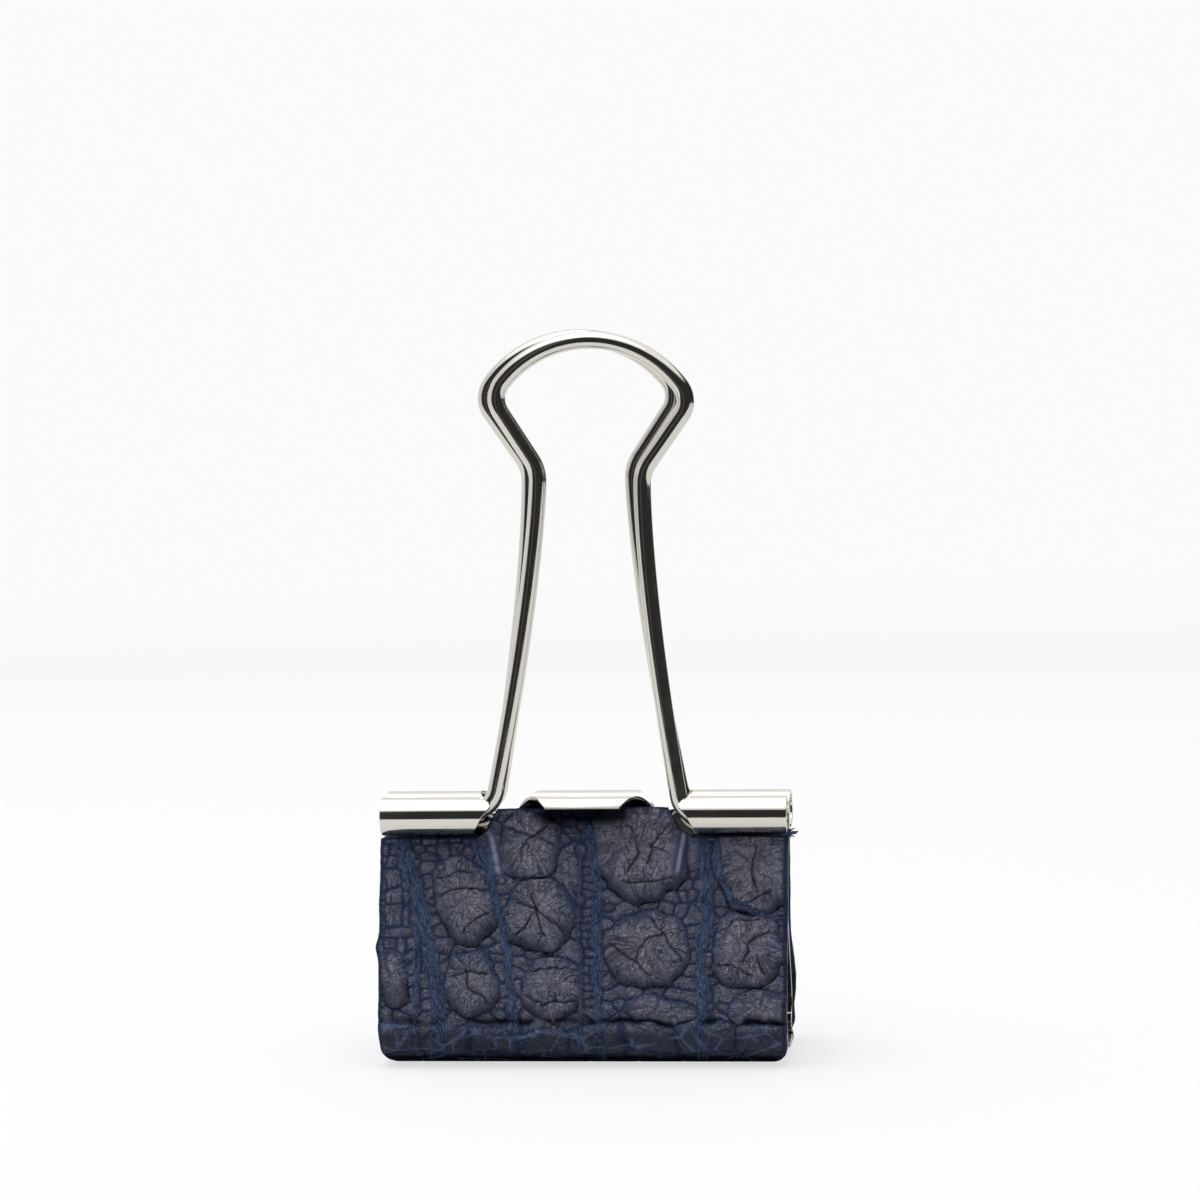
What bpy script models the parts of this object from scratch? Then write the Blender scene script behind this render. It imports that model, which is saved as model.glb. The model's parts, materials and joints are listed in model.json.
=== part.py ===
"""Binder clip with a glued leather cover, standing on its spine with both wire handles up.

Sizes are in metres. +X runs along the jaws, -Y is the front and +Z is up.
The front half is worked out in the YZ plane, and the rear half is the same half turned about Z.
"""
from math import asin, atan, atan2, cos, pi, radians, sin, sqrt

import bmesh
import bpy
from mathutils import Matrix, Vector

# Spring strip
CLIP_WIDTH = 0.0320          # strip, end to end along the jaws
SHEET = 0.00030              # spring steel thickness
SPINE_DEPTH = 0.0120         # over the outside of the two bends, front to back
BEND_RADIUS = 0.0024         # outside of each bend
TUBE_AXIS_HEIGHT = 0.0191    # handle pivot above the table
JAW_GAP = 0.0003             # left between the closed jaws
TUBE_CURL_DEG = 300.0        # how far each tube is rolled up
LIP_CURL_DEG = 172.0         # how far the centre lip is rolled over
LIP_ROOT = 0.0053            # half width of the lip at its root
LIP_FREE = 0.0029            # half width of the lip at its free edge
NOTCH_ROOT = 0.0012          # notch between lip and tube, at its root
MOUTH_CLEARANCE = 0.00015    # tube's inner end to the leg that swings past it
MOUTH_FROM_DEG = 60.0        # stretch of the roll that keeps the full mouth
MOUTH_TO_DEG = 220.0
TUBE_CHAMFER = 0.0005        # tube's inner end set back at the free edge of the roll
BEND_SLIT = 0.0003           # slit between spine and jaw at the hinge line

# Wire handles
WIRE = 0.00138               # wire diameter
FOOT_CLEARANCE = 0.00051     # between the wire and the bore of a tube, all round
FOOT_INSET = 0.0020          # tip of each foot, inside the end of its tube
FOOT_BEND = 0.0022           # bend between foot and leg
LEG_SPREAD = 0.0075          # leg line at the pivot, from the middle
LEG_BOW = 1.46               # power of the leg's outward sweep
NECK_HALF = 0.00409          # neck, from the middle
NECK_HEIGHT = 0.02615        # neck above the pivot
NECK_BEND = 0.0030
LOOP_HALF = 0.00738          # widest part of the loop, from the middle
LOOP_RISE = 0.01105          # top of the loop above the neck
SHOULDER_BEND = 0.0020
TOP_BEND = 0.0088            # broad arc over the top
FOLD_DEG = 150.0             # from upright to lying on the jaw
FRONT_SLIDE = 0.00023        # how far each handle has slid along its tubes
REAR_SLIDE = -0.00005
FRONT_PLAY = 0.92            # share of the foot clearance that each handle leans by
REAR_PLAY = 0.0

# Leather wrap
LEATHER = 0.0009             # thickness
GLUE = 0.0002                # glue line between steel and leather
LEATHER_INSET = 0.00005      # leather stops short of the strip's ends
HINGE_RELIEF = 0.00085       # opening above the bend that lets the panel swing out
EDGE_GAP = 0.0003            # leather edge to the tubes above it
TAB_CLEARANCE = 0.0005       # tab's top corners to the legs beside them
TAB_SPLAY = 0.0010           # how much wider the tab is at its foot, each side
TAB_RISE = 0.0002            # tab edge above the root of the lip
DENT_CLEARANCE = 0.00030     # room round the folded legs pressed into the leather

# Facets
ARC_STEP_DEG = 12.0
WIRE_BEVEL = 4
LEG_STEPS = 8

# Colours taken from the object, as linear values with roughness and metallic
NICKEL_STRIP = ((0.74, 0.72, 0.68, 1.0), 0.16, 1.0)
NICKEL_WIRE = ((0.70, 0.69, 0.66, 1.0), 0.12, 1.0)
NAVY_LEATHER = ((0.020, 0.028, 0.058, 1.0), 0.55, 0.0)

# Section worked out from the sizes above
TUBE_RADIUS = WIRE / 2 + FOOT_CLEARANCE + SHEET
TUBE_MEAN = TUBE_RADIUS - SHEET / 2
BEND_MEAN = BEND_RADIUS - SHEET / 2
BASE_Z = LEATHER + GLUE + SHEET / 2
LEATHER_OFFSET = SHEET / 2 + GLUE + LEATHER / 2
TUBE_ROOT = LIP_ROOT + NOTCH_ROOT
TUBE_MOUTH = LEG_SPREAD + WIRE / 2 + max(FRONT_SLIDE, REAR_SLIDE) + MOUTH_CLEARANCE
TUBE_FREE = TUBE_MOUTH + TUBE_CHAMFER
FOOT_END = CLIP_WIDTH / 2 - FOOT_INSET
TAB_TOP = LEG_SPREAD - WIRE / 2 - TAB_CLEARANCE
TAB_FOOT = TAB_TOP + TAB_SPLAY
BEND_CENTRE = Vector((BEND_RADIUS - SPINE_DEPTH / 2, BASE_Z + BEND_MEAN))
TUBE_CENTRE = Vector((-TUBE_RADIUS - JAW_GAP / 2, TUBE_AXIS_HEIGHT))


def wall_lean():
    """Lean of the jaw wall from upright: it is tangent to the bend outside and the tube inside."""
    run = TUBE_CENTRE - BEND_CENTRE
    return atan2(run.x, run.y) + asin((BEND_MEAN + TUBE_MEAN) / run.length)


LEAN = wall_lean()
UP = Vector((sin(LEAN), cos(LEAN)))
OUT = Vector((-cos(LEAN), sin(LEAN)))
WALL_FOOT = BEND_CENTRE + OUT * BEND_MEAN
WALL_HEAD = TUBE_CENTRE - OUT * TUBE_MEAN
WALL_LENGTH = (WALL_HEAD - WALL_FOOT).length


def clear_scene():
    for item in list(bpy.data.objects):
        bpy.data.objects.remove(item, do_unlink=True)


def finish(name, look):
    """Principled material for one piece."""
    colour, roughness, metallic = look
    material = bpy.data.materials.new(f"{name}_finish")
    material.use_nodes = True
    shader = material.node_tree.nodes["Principled BSDF"]
    shader.inputs["Base Color"].default_value = colour
    shader.inputs["Roughness"].default_value = roughness
    shader.inputs["Metallic"].default_value = metallic
    return material


def place(name, data, look, parent=None):
    """Link a named object, with its own material, under its parent."""
    item = bpy.data.objects.new(name, data)
    bpy.context.scene.collection.objects.link(item)
    item.parent = parent
    data.materials.append(finish(name, look))
    return item


def steps_for(sweep):
    return max(2, round(abs(sweep) / radians(ARC_STEP_DEG)))


def arc(centre, radius, start, sweep):
    """Points on an arc in a plane, both ends included; angles run from the first axis."""
    count = steps_for(sweep)
    turns = [start + sweep * step / count for step in range(count + 1)]
    return [centre + Vector((cos(turn), sin(turn))) * radius for turn in turns]


def on_wall(height, offset=0.0):
    """Point of the jaw wall's section, by height along it and offset outwards."""
    return WALL_FOOT + UP * height + OUT * offset


def sheet_object(name, ribbons, thickness, look, origin, parent=None):
    """Closed sheet made of ribbons: each is a section line and the ends along X at every point."""
    bm = bmesh.new()
    for line, lows, highs in ribbons:
        rows = []
        for point, low, high in zip(line, lows, highs):
            local = point - origin
            rows.append([bm.verts.new((x, local.x, local.y)) for x in (low, high)])
        for below, above in zip(rows, rows[1:]):
            bm.faces.new((below[0], below[1], above[1], above[0]))
    bmesh.ops.remove_doubles(bm, verts=bm.verts, dist=SHEET / 100)
    mesh = bpy.data.meshes.new(name)
    bm.to_mesh(mesh)
    bm.free()
    mesh.shade_smooth()
    item = place(name, mesh, look, parent)
    solid = item.modifiers.new("thickness", "SOLIDIFY")
    solid.thickness = thickness
    solid.offset = 0.0
    solid.use_even_offset = True
    return item


def straight_ribbon(line, low, high):
    return line, [low] * len(line), [high] * len(line)


def mirrored_ribbon(line, inner_ends, outer):
    """The same ribbon on both sides of the middle."""
    negatives = [-x for x in inner_ends]
    return [
        (line, inner_ends, [outer] * len(line)),
        (line, [-outer] * len(line), negatives),
    ]


def tube_end(roll):
    """Inner end of a tube, from the middle, at an angle along its roll."""
    opens = radians(MOUTH_FROM_DEG)
    closes = radians(MOUTH_TO_DEG)
    if roll < opens:
        return TUBE_ROOT + (TUBE_MOUTH - TUBE_ROOT) * roll / opens
    if roll < closes:
        return TUBE_MOUTH
    share = (roll - closes) / (radians(TUBE_CURL_DEG) - closes)
    return TUBE_MOUTH + (TUBE_FREE - TUBE_MOUTH) * share


def spine_section(offset, cut):
    """Half-open channel: front bend, flat base and rear bend, at an offset from the sheet."""
    radius = BEND_MEAN + offset
    start = pi - LEAN + cut / BEND_MEAN
    front = arc(BEND_CENTRE, radius, start, 1.5 * pi - start)
    rear = [Vector((-point.x, point.y)) for point in reversed(front)]
    return front + rear


def make_spine():
    half = CLIP_WIDTH / 2
    section = spine_section(0.0, BEND_SLIT)
    return sheet_object("spine", [straight_ribbon(section, half, -half)], SHEET, NICKEL_STRIP,
                        Vector((0, 0)))


def make_spine_leather():
    half = CLIP_WIDTH / 2 - LEATHER_INSET
    section = spine_section(LEATHER_OFFSET, 0.0)
    return sheet_object("spine_leather", [straight_ribbon(section, half, -half)], LEATHER,
                        NAVY_LEATHER, Vector((0, 0)))


def make_jaw(name):
    """Sloping wall with two rolled tubes and a rolled centre lip along its edge."""
    half = CLIP_WIDTH / 2
    wall = [WALL_FOOT, WALL_HEAD]
    ribbons = [straight_ribbon(wall, -LIP_ROOT, LIP_ROOT)]
    ribbons += mirrored_ribbon(wall, [TUBE_ROOT, TUBE_ROOT], half)
    ribbons.append(straight_ribbon(wall, LIP_ROOT, TUBE_ROOT))
    ribbons.append(straight_ribbon(wall, -TUBE_ROOT, -LIP_ROOT))

    tube_sweep = radians(TUBE_CURL_DEG)
    tube = arc(TUBE_CENTRE, TUBE_MEAN, -LEAN, tube_sweep)
    ends = [tube_end(tube_sweep * step / (len(tube) - 1)) for step in range(len(tube))]
    ribbons += mirrored_ribbon(tube, ends, half)

    lip = arc(TUBE_CENTRE, TUBE_MEAN, -LEAN, radians(LIP_CURL_DEG))
    taper = (LIP_FREE - LIP_ROOT) / (len(lip) - 1)
    widths = [LIP_ROOT + taper * step for step in range(len(lip))]
    ribbons.append((lip, [-width for width in widths], widths))
    return sheet_object(name, ribbons, SHEET, NICKEL_STRIP, WALL_FOOT)


def make_panel(name, jaw, cutter):
    """Leather on one jaw: wide panel under the tubes, a tab up to the lip, dents of the legs."""
    half = CLIP_WIDTH / 2 - LEATHER_INSET
    shelf = WALL_LENGTH - TUBE_RADIUS - EDGE_GAP
    panel = [on_wall(HINGE_RELIEF, LEATHER_OFFSET), on_wall(shelf, LEATHER_OFFSET)]
    tab = [panel[1], on_wall(WALL_LENGTH + TAB_RISE, LEATHER_OFFSET)]
    ribbons = [straight_ribbon(panel, -TAB_FOOT, TAB_FOOT)]
    ribbons += mirrored_ribbon(panel, [TAB_FOOT, TAB_FOOT], half)
    ribbons.append((tab, [-TAB_FOOT, -TAB_TOP], [TAB_FOOT, TAB_TOP]))
    item = sheet_object(name, ribbons, LEATHER, NAVY_LEATHER, WALL_FOOT, jaw)
    dents = item.modifiers.new("dents", "BOOLEAN")
    dents.operation = "DIFFERENCE"
    dents.object = cutter
    return item


def leg_x(height):
    """Leg's distance from the middle: upright at the neck, sweeping out towards the pivot."""
    share = (NECK_HEIGHT - height) / NECK_HEIGHT
    return NECK_HALF + (LEG_SPREAD - NECK_HALF) * share ** LEG_BOW


def leg_slope(height):
    share = (NECK_HEIGHT - height) / NECK_HEIGHT
    return (LEG_SPREAD - NECK_HALF) * LEG_BOW * share ** (LEG_BOW - 1) / NECK_HEIGHT


def foot_bend_start():
    """Height and slope angle where the leg turns into the foot."""
    tilt = atan(leg_slope(0.0))
    height = FOOT_BEND * (1 - sin(tilt))
    return height, atan(leg_slope(height))


def half_outline():
    """Right half of the handle, from the top of the loop down to the tip of the foot."""
    top_centre = Vector((0.0, NECK_HEIGHT + LOOP_RISE - TOP_BEND))
    reach = TOP_BEND - SHOULDER_BEND
    shoulder_x = LOOP_HALF - SHOULDER_BEND
    shoulder_centre = top_centre + Vector((shoulder_x, sqrt(reach ** 2 - shoulder_x ** 2)))
    neck_centre = Vector((NECK_HALF + NECK_BEND, NECK_HEIGHT))
    meet = asin(shoulder_x / reach)
    run = shoulder_centre - neck_centre
    slant = atan2(run.x, run.y) + asin((SHOULDER_BEND + NECK_BEND) / run.length)

    points = arc(top_centre, TOP_BEND, pi / 2, -meet)
    points += arc(shoulder_centre, SHOULDER_BEND, pi / 2 - meet, -(pi / 2 - meet + slant))[1:]
    points += arc(neck_centre, NECK_BEND, pi - slant, slant)

    bend_height, tilt = foot_bend_start()
    drop = NECK_HEIGHT - bend_height
    heights = [NECK_HEIGHT - drop * step / LEG_STEPS for step in range(1, LEG_STEPS + 1)]
    points += [Vector((leg_x(height), height)) for height in heights]

    bend_radius = bend_height / (1 - sin(tilt))
    bend_centre = Vector((leg_x(bend_height) + bend_radius * cos(tilt), bend_radius))
    points += arc(bend_centre, bend_radius, pi + tilt, pi / 2 - tilt)[1:]
    points.append(Vector((FOOT_END, 0.0)))
    return points


def wire_loop(name, radius):
    """Whole handle as a bevelled curve in the XZ plane, with the pivot on X."""
    right = half_outline()
    left = [Vector((-point.x, point.y)) for point in right[1:]]
    outline = list(reversed(left)) + right
    curve = bpy.data.curves.new(name, "CURVE")
    curve.dimensions = "3D"
    curve.bevel_depth = radius
    curve.bevel_resolution = WIRE_BEVEL
    curve.use_fill_caps = True
    spline = curve.splines.new("POLY")
    spline.points.add(len(outline) - 1)
    for knot, point in zip(spline.points, outline):
        knot.co = (point.x, 0.0, point.y, 1.0)
    return curve


def handle_matrix(slide, play, fold):
    """Handle in its jaw's frame: slid along the tubes, leaning within its play, then folded."""
    pivot = TUBE_CENTRE - WALL_FOOT
    lean = atan(play * FOOT_CLEARANCE / FOOT_END)
    seat = Matrix.Translation((slide, pivot.x, pivot.y))
    return seat @ Matrix.Rotation(fold, 4, "X") @ Matrix.Rotation(lean, 4, "Y")


def make_handle(name, jaw, slide, play):
    item = place(name, wire_loop(name, WIRE / 2), NICKEL_WIRE, jaw)
    item.matrix_local = handle_matrix(slide, play, 0.0)
    return item


def make_leg_cutter(name, jaw, slide, play):
    """Folded handle with room round it; it presses the dents into the leather."""
    guide = place(f"{name}_guide", wire_loop(name, WIRE / 2 + DENT_CLEARANCE), NICKEL_WIRE)
    mesh = bpy.data.meshes.new_from_object(guide)
    bpy.data.objects.remove(guide)
    item = place(name, mesh, NICKEL_WIRE, jaw)
    item.matrix_local = handle_matrix(slide, play, radians(FOLD_DEG))
    item.hide_render = True
    item.display_type = "WIRE"
    return item


def make_side(side, turn, slide, play):
    """One jaw with its leather and its handle; the jaw's origin is on its hinge line."""
    jaw = make_jaw(f"{side}_jaw")
    spin = Matrix.Rotation(turn, 4, "Z")
    jaw.matrix_world = spin @ Matrix.Translation((0.0, WALL_FOOT.x, WALL_FOOT.y))
    cutter = make_leg_cutter(f"{side}_leg_cutter", jaw, slide, play)
    make_panel(f"{side}_leather", jaw, cutter)
    make_handle(f"{side}_handle", jaw, slide, play)


def main():
    clear_scene()
    make_spine()
    make_spine_leather()
    make_side("front", 0.0, FRONT_SLIDE, FRONT_PLAY)
    make_side("rear", pi, REAR_SLIDE, REAR_PLAY)


main()
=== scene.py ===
"""Looks of a leather-covered binder clip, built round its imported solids.

The front half is worked out in its own frame, and the rear half is the same half turned about Z.
Lengths are in metres. In the leather's own flat coordinates, x runs along the jaws and the drop
runs down the outer face from the root of the rolled lip, both in millimetres.
"""
import json
from math import asin, atan, atan2, cos, hypot, pi, radians, sin, sqrt

import bmesh
import bpy
import numpy as np
from bpy.props import FloatProperty, FloatVectorProperty, PointerProperty
from mathutils import Matrix, Vector


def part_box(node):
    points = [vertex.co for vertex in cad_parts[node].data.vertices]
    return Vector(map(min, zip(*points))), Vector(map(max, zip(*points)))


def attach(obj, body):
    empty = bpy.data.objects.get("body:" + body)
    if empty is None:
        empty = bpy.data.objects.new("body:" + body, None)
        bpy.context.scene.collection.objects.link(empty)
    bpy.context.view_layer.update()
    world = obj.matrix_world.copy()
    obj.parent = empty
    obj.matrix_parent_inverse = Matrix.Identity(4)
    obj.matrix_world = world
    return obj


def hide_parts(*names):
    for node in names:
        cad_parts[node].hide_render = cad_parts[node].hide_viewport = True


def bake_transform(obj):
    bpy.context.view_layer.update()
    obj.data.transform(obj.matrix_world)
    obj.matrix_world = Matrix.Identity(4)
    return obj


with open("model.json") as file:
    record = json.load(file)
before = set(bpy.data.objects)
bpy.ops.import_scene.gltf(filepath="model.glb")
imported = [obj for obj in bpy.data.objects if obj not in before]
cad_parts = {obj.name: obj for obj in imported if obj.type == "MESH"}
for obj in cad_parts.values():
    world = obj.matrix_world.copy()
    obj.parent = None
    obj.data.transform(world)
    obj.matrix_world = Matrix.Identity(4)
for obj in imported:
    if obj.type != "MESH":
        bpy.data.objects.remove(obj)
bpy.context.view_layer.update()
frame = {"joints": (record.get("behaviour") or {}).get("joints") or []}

bl_info = {
    "name": "Leather Binder Clip",
    "version": (1, 0, 0),
    "blender": (4, 5, 0),
    "location": "View3D > Sidebar > Binder Clip",
    "description": "Dresses a binder clip in nickel and scale-grain leather, in a white studio",
    "category": "Object",
}

MM = 0.001
JOINTS = {joint["name"]: joint for joint in frame["joints"]}
PIVOT = Vector(JOINTS["front_handle_fold"]["pos_m"])
FOLD = radians(JOINTS["front_handle_fold"]["range_deg"][1])
JAW_LOW, JAW_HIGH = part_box("front_jaw")
SPINE_LOW, SPINE_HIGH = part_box("spine")
TURNS = {"front": Matrix.Identity(4), "rear": Matrix.Rotation(pi, 4, "Z")}


def length(name, description, default):
    return FloatProperty(name=name, description=description, default=default, unit="LENGTH", precision=5)


def angle(name, description, degrees):
    return FloatProperty(name=name, description=description, default=radians(degrees), subtype="ANGLE")


def share(name, description, default):
    return FloatProperty(name=name, description=description, default=default, min=0.0, max=1.0,
                         subtype="FACTOR")


def colour(name, description, default):
    return FloatVectorProperty(name=name, description=description, default=default, min=0.0, max=1.0,
                               size=3, subtype="COLOR")


class ClipStrip(bpy.types.PropertyGroup):
    """Sizes and finish of the spring strip"""

    width: length("Width", "Strip, end to end along the jaws", JAW_HIGH.x - JAW_LOW.x)
    sheet: length("Sheet", "Spring steel thickness", 0.00030)
    spine_depth: length("Spine Depth", "Over the outside of the bends", SPINE_HIGH.y - SPINE_LOW.y)
    bend_radius: length("Bend Radius", "Outside of each bend", 0.0024)
    tube_radius: length("Tube Radius", "Outside of the rolled tubes", 0.0015)
    tube_curl: angle("Tube Curl", "How far each tube is rolled up", 300.0)
    lip_curl: angle("Lip Curl", "How far the centre lip is rolled over", 172.0)
    lip_root: length("Lip Root", "Half width of the lip at its root", 0.0053)
    lip_free: length("Lip Edge", "Half width of the lip at its free edge", 0.0029)
    notch: length("Notch", "Gap between lip and tube at the root", 0.0012)
    edge_round: length("Edge Round", "Rounding of the cut edges of the sheet", 0.00006)
    tint: colour("Nickel", "Plated nickel seen face on", (0.63, 0.61, 0.555))


class ClipHandles(bpy.types.PropertyGroup):
    """Sizes and seat of the wire handles"""

    wire: length("Wire", "Wire diameter", 0.00138)
    foot_end: length("Foot End", "Tip of each foot from the middle", 0.0140)
    foot_bend: length("Foot Bend", "Bend between foot and leg", 0.0022)
    leg_spread: length("Leg Spread", "Leg line at the pivot, from the middle", 0.0075)
    leg_bow: FloatProperty(name="Leg Bow", description="Power of the leg's outward sweep", default=1.46)
    neck_half: length("Neck", "Neck, from the middle", 0.00409)
    neck_height: length("Neck Height", "Neck above the pivot", 0.02615)
    neck_bend: length("Neck Bend", "Bend at the neck", 0.0030)
    loop_half: length("Loop", "Widest part of the loop, from the middle", 0.00738)
    loop_rise: length("Loop Rise", "Top of the loop above the neck", 0.01105)
    shoulder_bend: length("Shoulder Bend", "Bend at the widest part of the loop", 0.0020)
    top_bend: length("Top Bend", "Broad arc over the top", 0.0088)
    front_slide: length("Front Slide", "Front handle slid along its tubes", 0.00023)
    rear_slide: length("Rear Slide", "Rear handle slid along its tubes", -0.00005)
    front_lean: angle("Front Lean", "Front handle leaning in its tubes", 1.92)
    rear_lean: angle("Rear Lean", "Rear handle leaning in its tubes", 0.0)
    tint: colour("Nickel", "Plated nickel seen face on", (0.61, 0.59, 0.54))


class ClipLeather(bpy.types.PropertyGroup):
    """Sizes and colours of the leather wrap"""

    face: length("Face", "Outer face from the middle of the steel sheet", 0.00125)
    film: length("Film", "Glue film between steel and leather", 0.00004)
    side_round: length("Side Round", "Rounding of the cut edge at the ends", 0.00045)
    top_round: length("Top Round", "Rounding of the cut edge at the top", 0.00022)
    pitch: length("Pitch", "Spacing of the modelled grain", 0.00010)
    shelf: length("Shelf", "Drop of the edge under the tubes", 0.00160)
    front_rise: length("Front Rise", "Front tab's edge above the root of the lip", 0.00072)
    rear_rise: length("Rear Rise", "Rear tab's edge above the root of the lip", 0.00030)
    press_room: length("Press Room", "Room round the wire pressed into the leather", 0.00012)
    furrow: colour("Furrow", "Dyed skin in the furrows", (0.050, 0.078, 0.170))
    fibre: colour("Fibre", "Loose fibres in the furrows", (0.130, 0.200, 0.370))
    scale: colour("Scale", "Rubbed tops of the scales", (0.266, 0.261, 0.336))
    # Colour of the deep lines (darker dye with painted shade), and of all painted shade and shadow on the
    # leather
    crease_and_shade: colour("Crease", "Deep lines of the grain", (0.0030, 0.0045, 0.0115))


class ClipStudio(bpy.types.PropertyGroup):
    """Camera, table and light"""

    azimuth: angle("Azimuth", "Camera round the clip from the front", 7.123)
    elevation: angle("Elevation", "Camera above the table's level", 5.926)
    roll: angle("Roll", "Camera tipped about its line of sight", -1.368)
    distance: length("Distance", "Camera to the point it looks at", 0.364666)
    target: FloatVectorProperty(name="Target", description="Point that the camera looks at",
                                default=(0.001465, 0.0, 0.035862), subtype="TRANSLATION")
    lens: FloatProperty(name="Lens", description="Focal length", default=139.86, unit="CAMERA")
    table: colour("Table", "White table top", (0.72, 0.72, 0.72))
    table_glow: share("Table Glow", "White of the table in the picture, added to its light", 0.096)
    backdrop: share("Backdrop", "White behind the table", 0.956)
    ceiling: FloatProperty(name="Ceiling", description="Level of the white ceiling", default=1.25)
    dark_end: share("Dark End", "Level of the unlit end of the room", 0.035)
    doorway: share("Doorway", "Light from a doorway in the unlit end", 0.10)
    softbox: FloatProperty(name="Softbox", description="Power of the overhead light", default=1.1,
                           unit="POWER")


def strip_sizes():
    return bpy.context.scene.clip_strip


def handle_sizes():
    return bpy.context.scene.clip_handles


def leather_sizes():
    return bpy.context.scene.clip_leather


def studio_sizes():
    return bpy.context.scene.clip_studio


class NodeTree:
    """Short way to add and link nodes."""

    def __init__(self, tree):
        self.tree = tree
        tree.nodes.clear()

    def add(self, kind, inputs=None, **settings):
        made = self.tree.nodes.new(kind)
        for key, value in settings.items():
            setattr(made, key, value)
        for key, value in (inputs or {}).items():
            if isinstance(value, bpy.types.NodeSocket):
                self.tree.links.new(value, made.inputs[key])
            else:
                made.inputs[key].default_value = value
        return made

    def math(self, operation, first, second=0.0, third=0.0):
        return self.add("ShaderNodeMath", {0: first, 1: second, 2: third}, operation=operation).outputs[0]

    def ramp(self, value, low, high, to_low=0.0, to_high=1.0):
        inputs = {"Value": value, "From Min": low, "From Max": high, "To Min": to_low, "To Max": to_high}
        made = self.add("ShaderNodeMapRange", inputs, interpolation_type="SMOOTHSTEP")
        return made.outputs["Result"]

    def mix(self, factor, first, second):
        inputs = {0: factor, 6: first, 7: second}
        return self.add("ShaderNodeMix", inputs, data_type="RGBA").outputs[2]

    def attribute(self, name, output):
        return self.add("ShaderNodeAttribute", attribute_name=name).outputs[output]

    def noise(self, place, scale, detail=2.0):
        inputs = {"Vector": place, "Scale": scale, "Detail": detail}
        return self.add("ShaderNodeTexNoise", inputs).outputs["Fac"]


def rgba(tint):
    return (*tint, 1.0)


def new_material(name):
    material = bpy.data.materials.new(name)
    material.use_nodes = True
    return material, NodeTree(material.node_tree)


CUT_STEEL = (0.17, 0.175, 0.18)


def nickel_finish(name, tint, drawn):
    """Bright plate with a faint orange peel; drawn stretches the peel along the metal."""
    material, nodes = new_material(name)
    place = nodes.add("ShaderNodeTexCoord").outputs["Object"]
    stretched = nodes.add("ShaderNodeMapping", {"Vector": place, "Scale": drawn}).outputs[0]
    peel = nodes.noise(stretched, 9000.0, 3.0)
    cloud = nodes.noise(place, 500.0, 4.0)
    bump = nodes.add("ShaderNodeBump", {"Strength": 0.12, "Distance": 0.000004, "Height": peel})
    cut = nodes.attribute("cut", "Fac")
    polish = nodes.ramp(cloud, 0.3, 0.7, 0.06, 0.13)
    shader = nodes.add("ShaderNodeBsdfPrincipled", {
        "Base Color": nodes.mix(cut, rgba(tint), rgba(CUT_STEEL)),
        "Metallic": 1.0,
        "Roughness": nodes.math("MULTIPLY_ADD", cut, 0.35, polish),
        "Normal": bump.outputs["Normal"],
    })
    nodes.add("ShaderNodeOutputMaterial", {"Surface": shader.outputs[0]})
    return material


# Wrinkles in the leather: scale, half width, cover, detail
STAR_WRINKLE = (1.0, 0.022, 1.2, 1.5)
LONG_WRINKLE = (0.75, 0.016, 1.3, 1.5)
SHORT_WRINKLE = (1.7, 0.026, 1.1, 1.0)
STRAND_STRETCH = (6.0, 1.1, 0.0)


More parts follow.
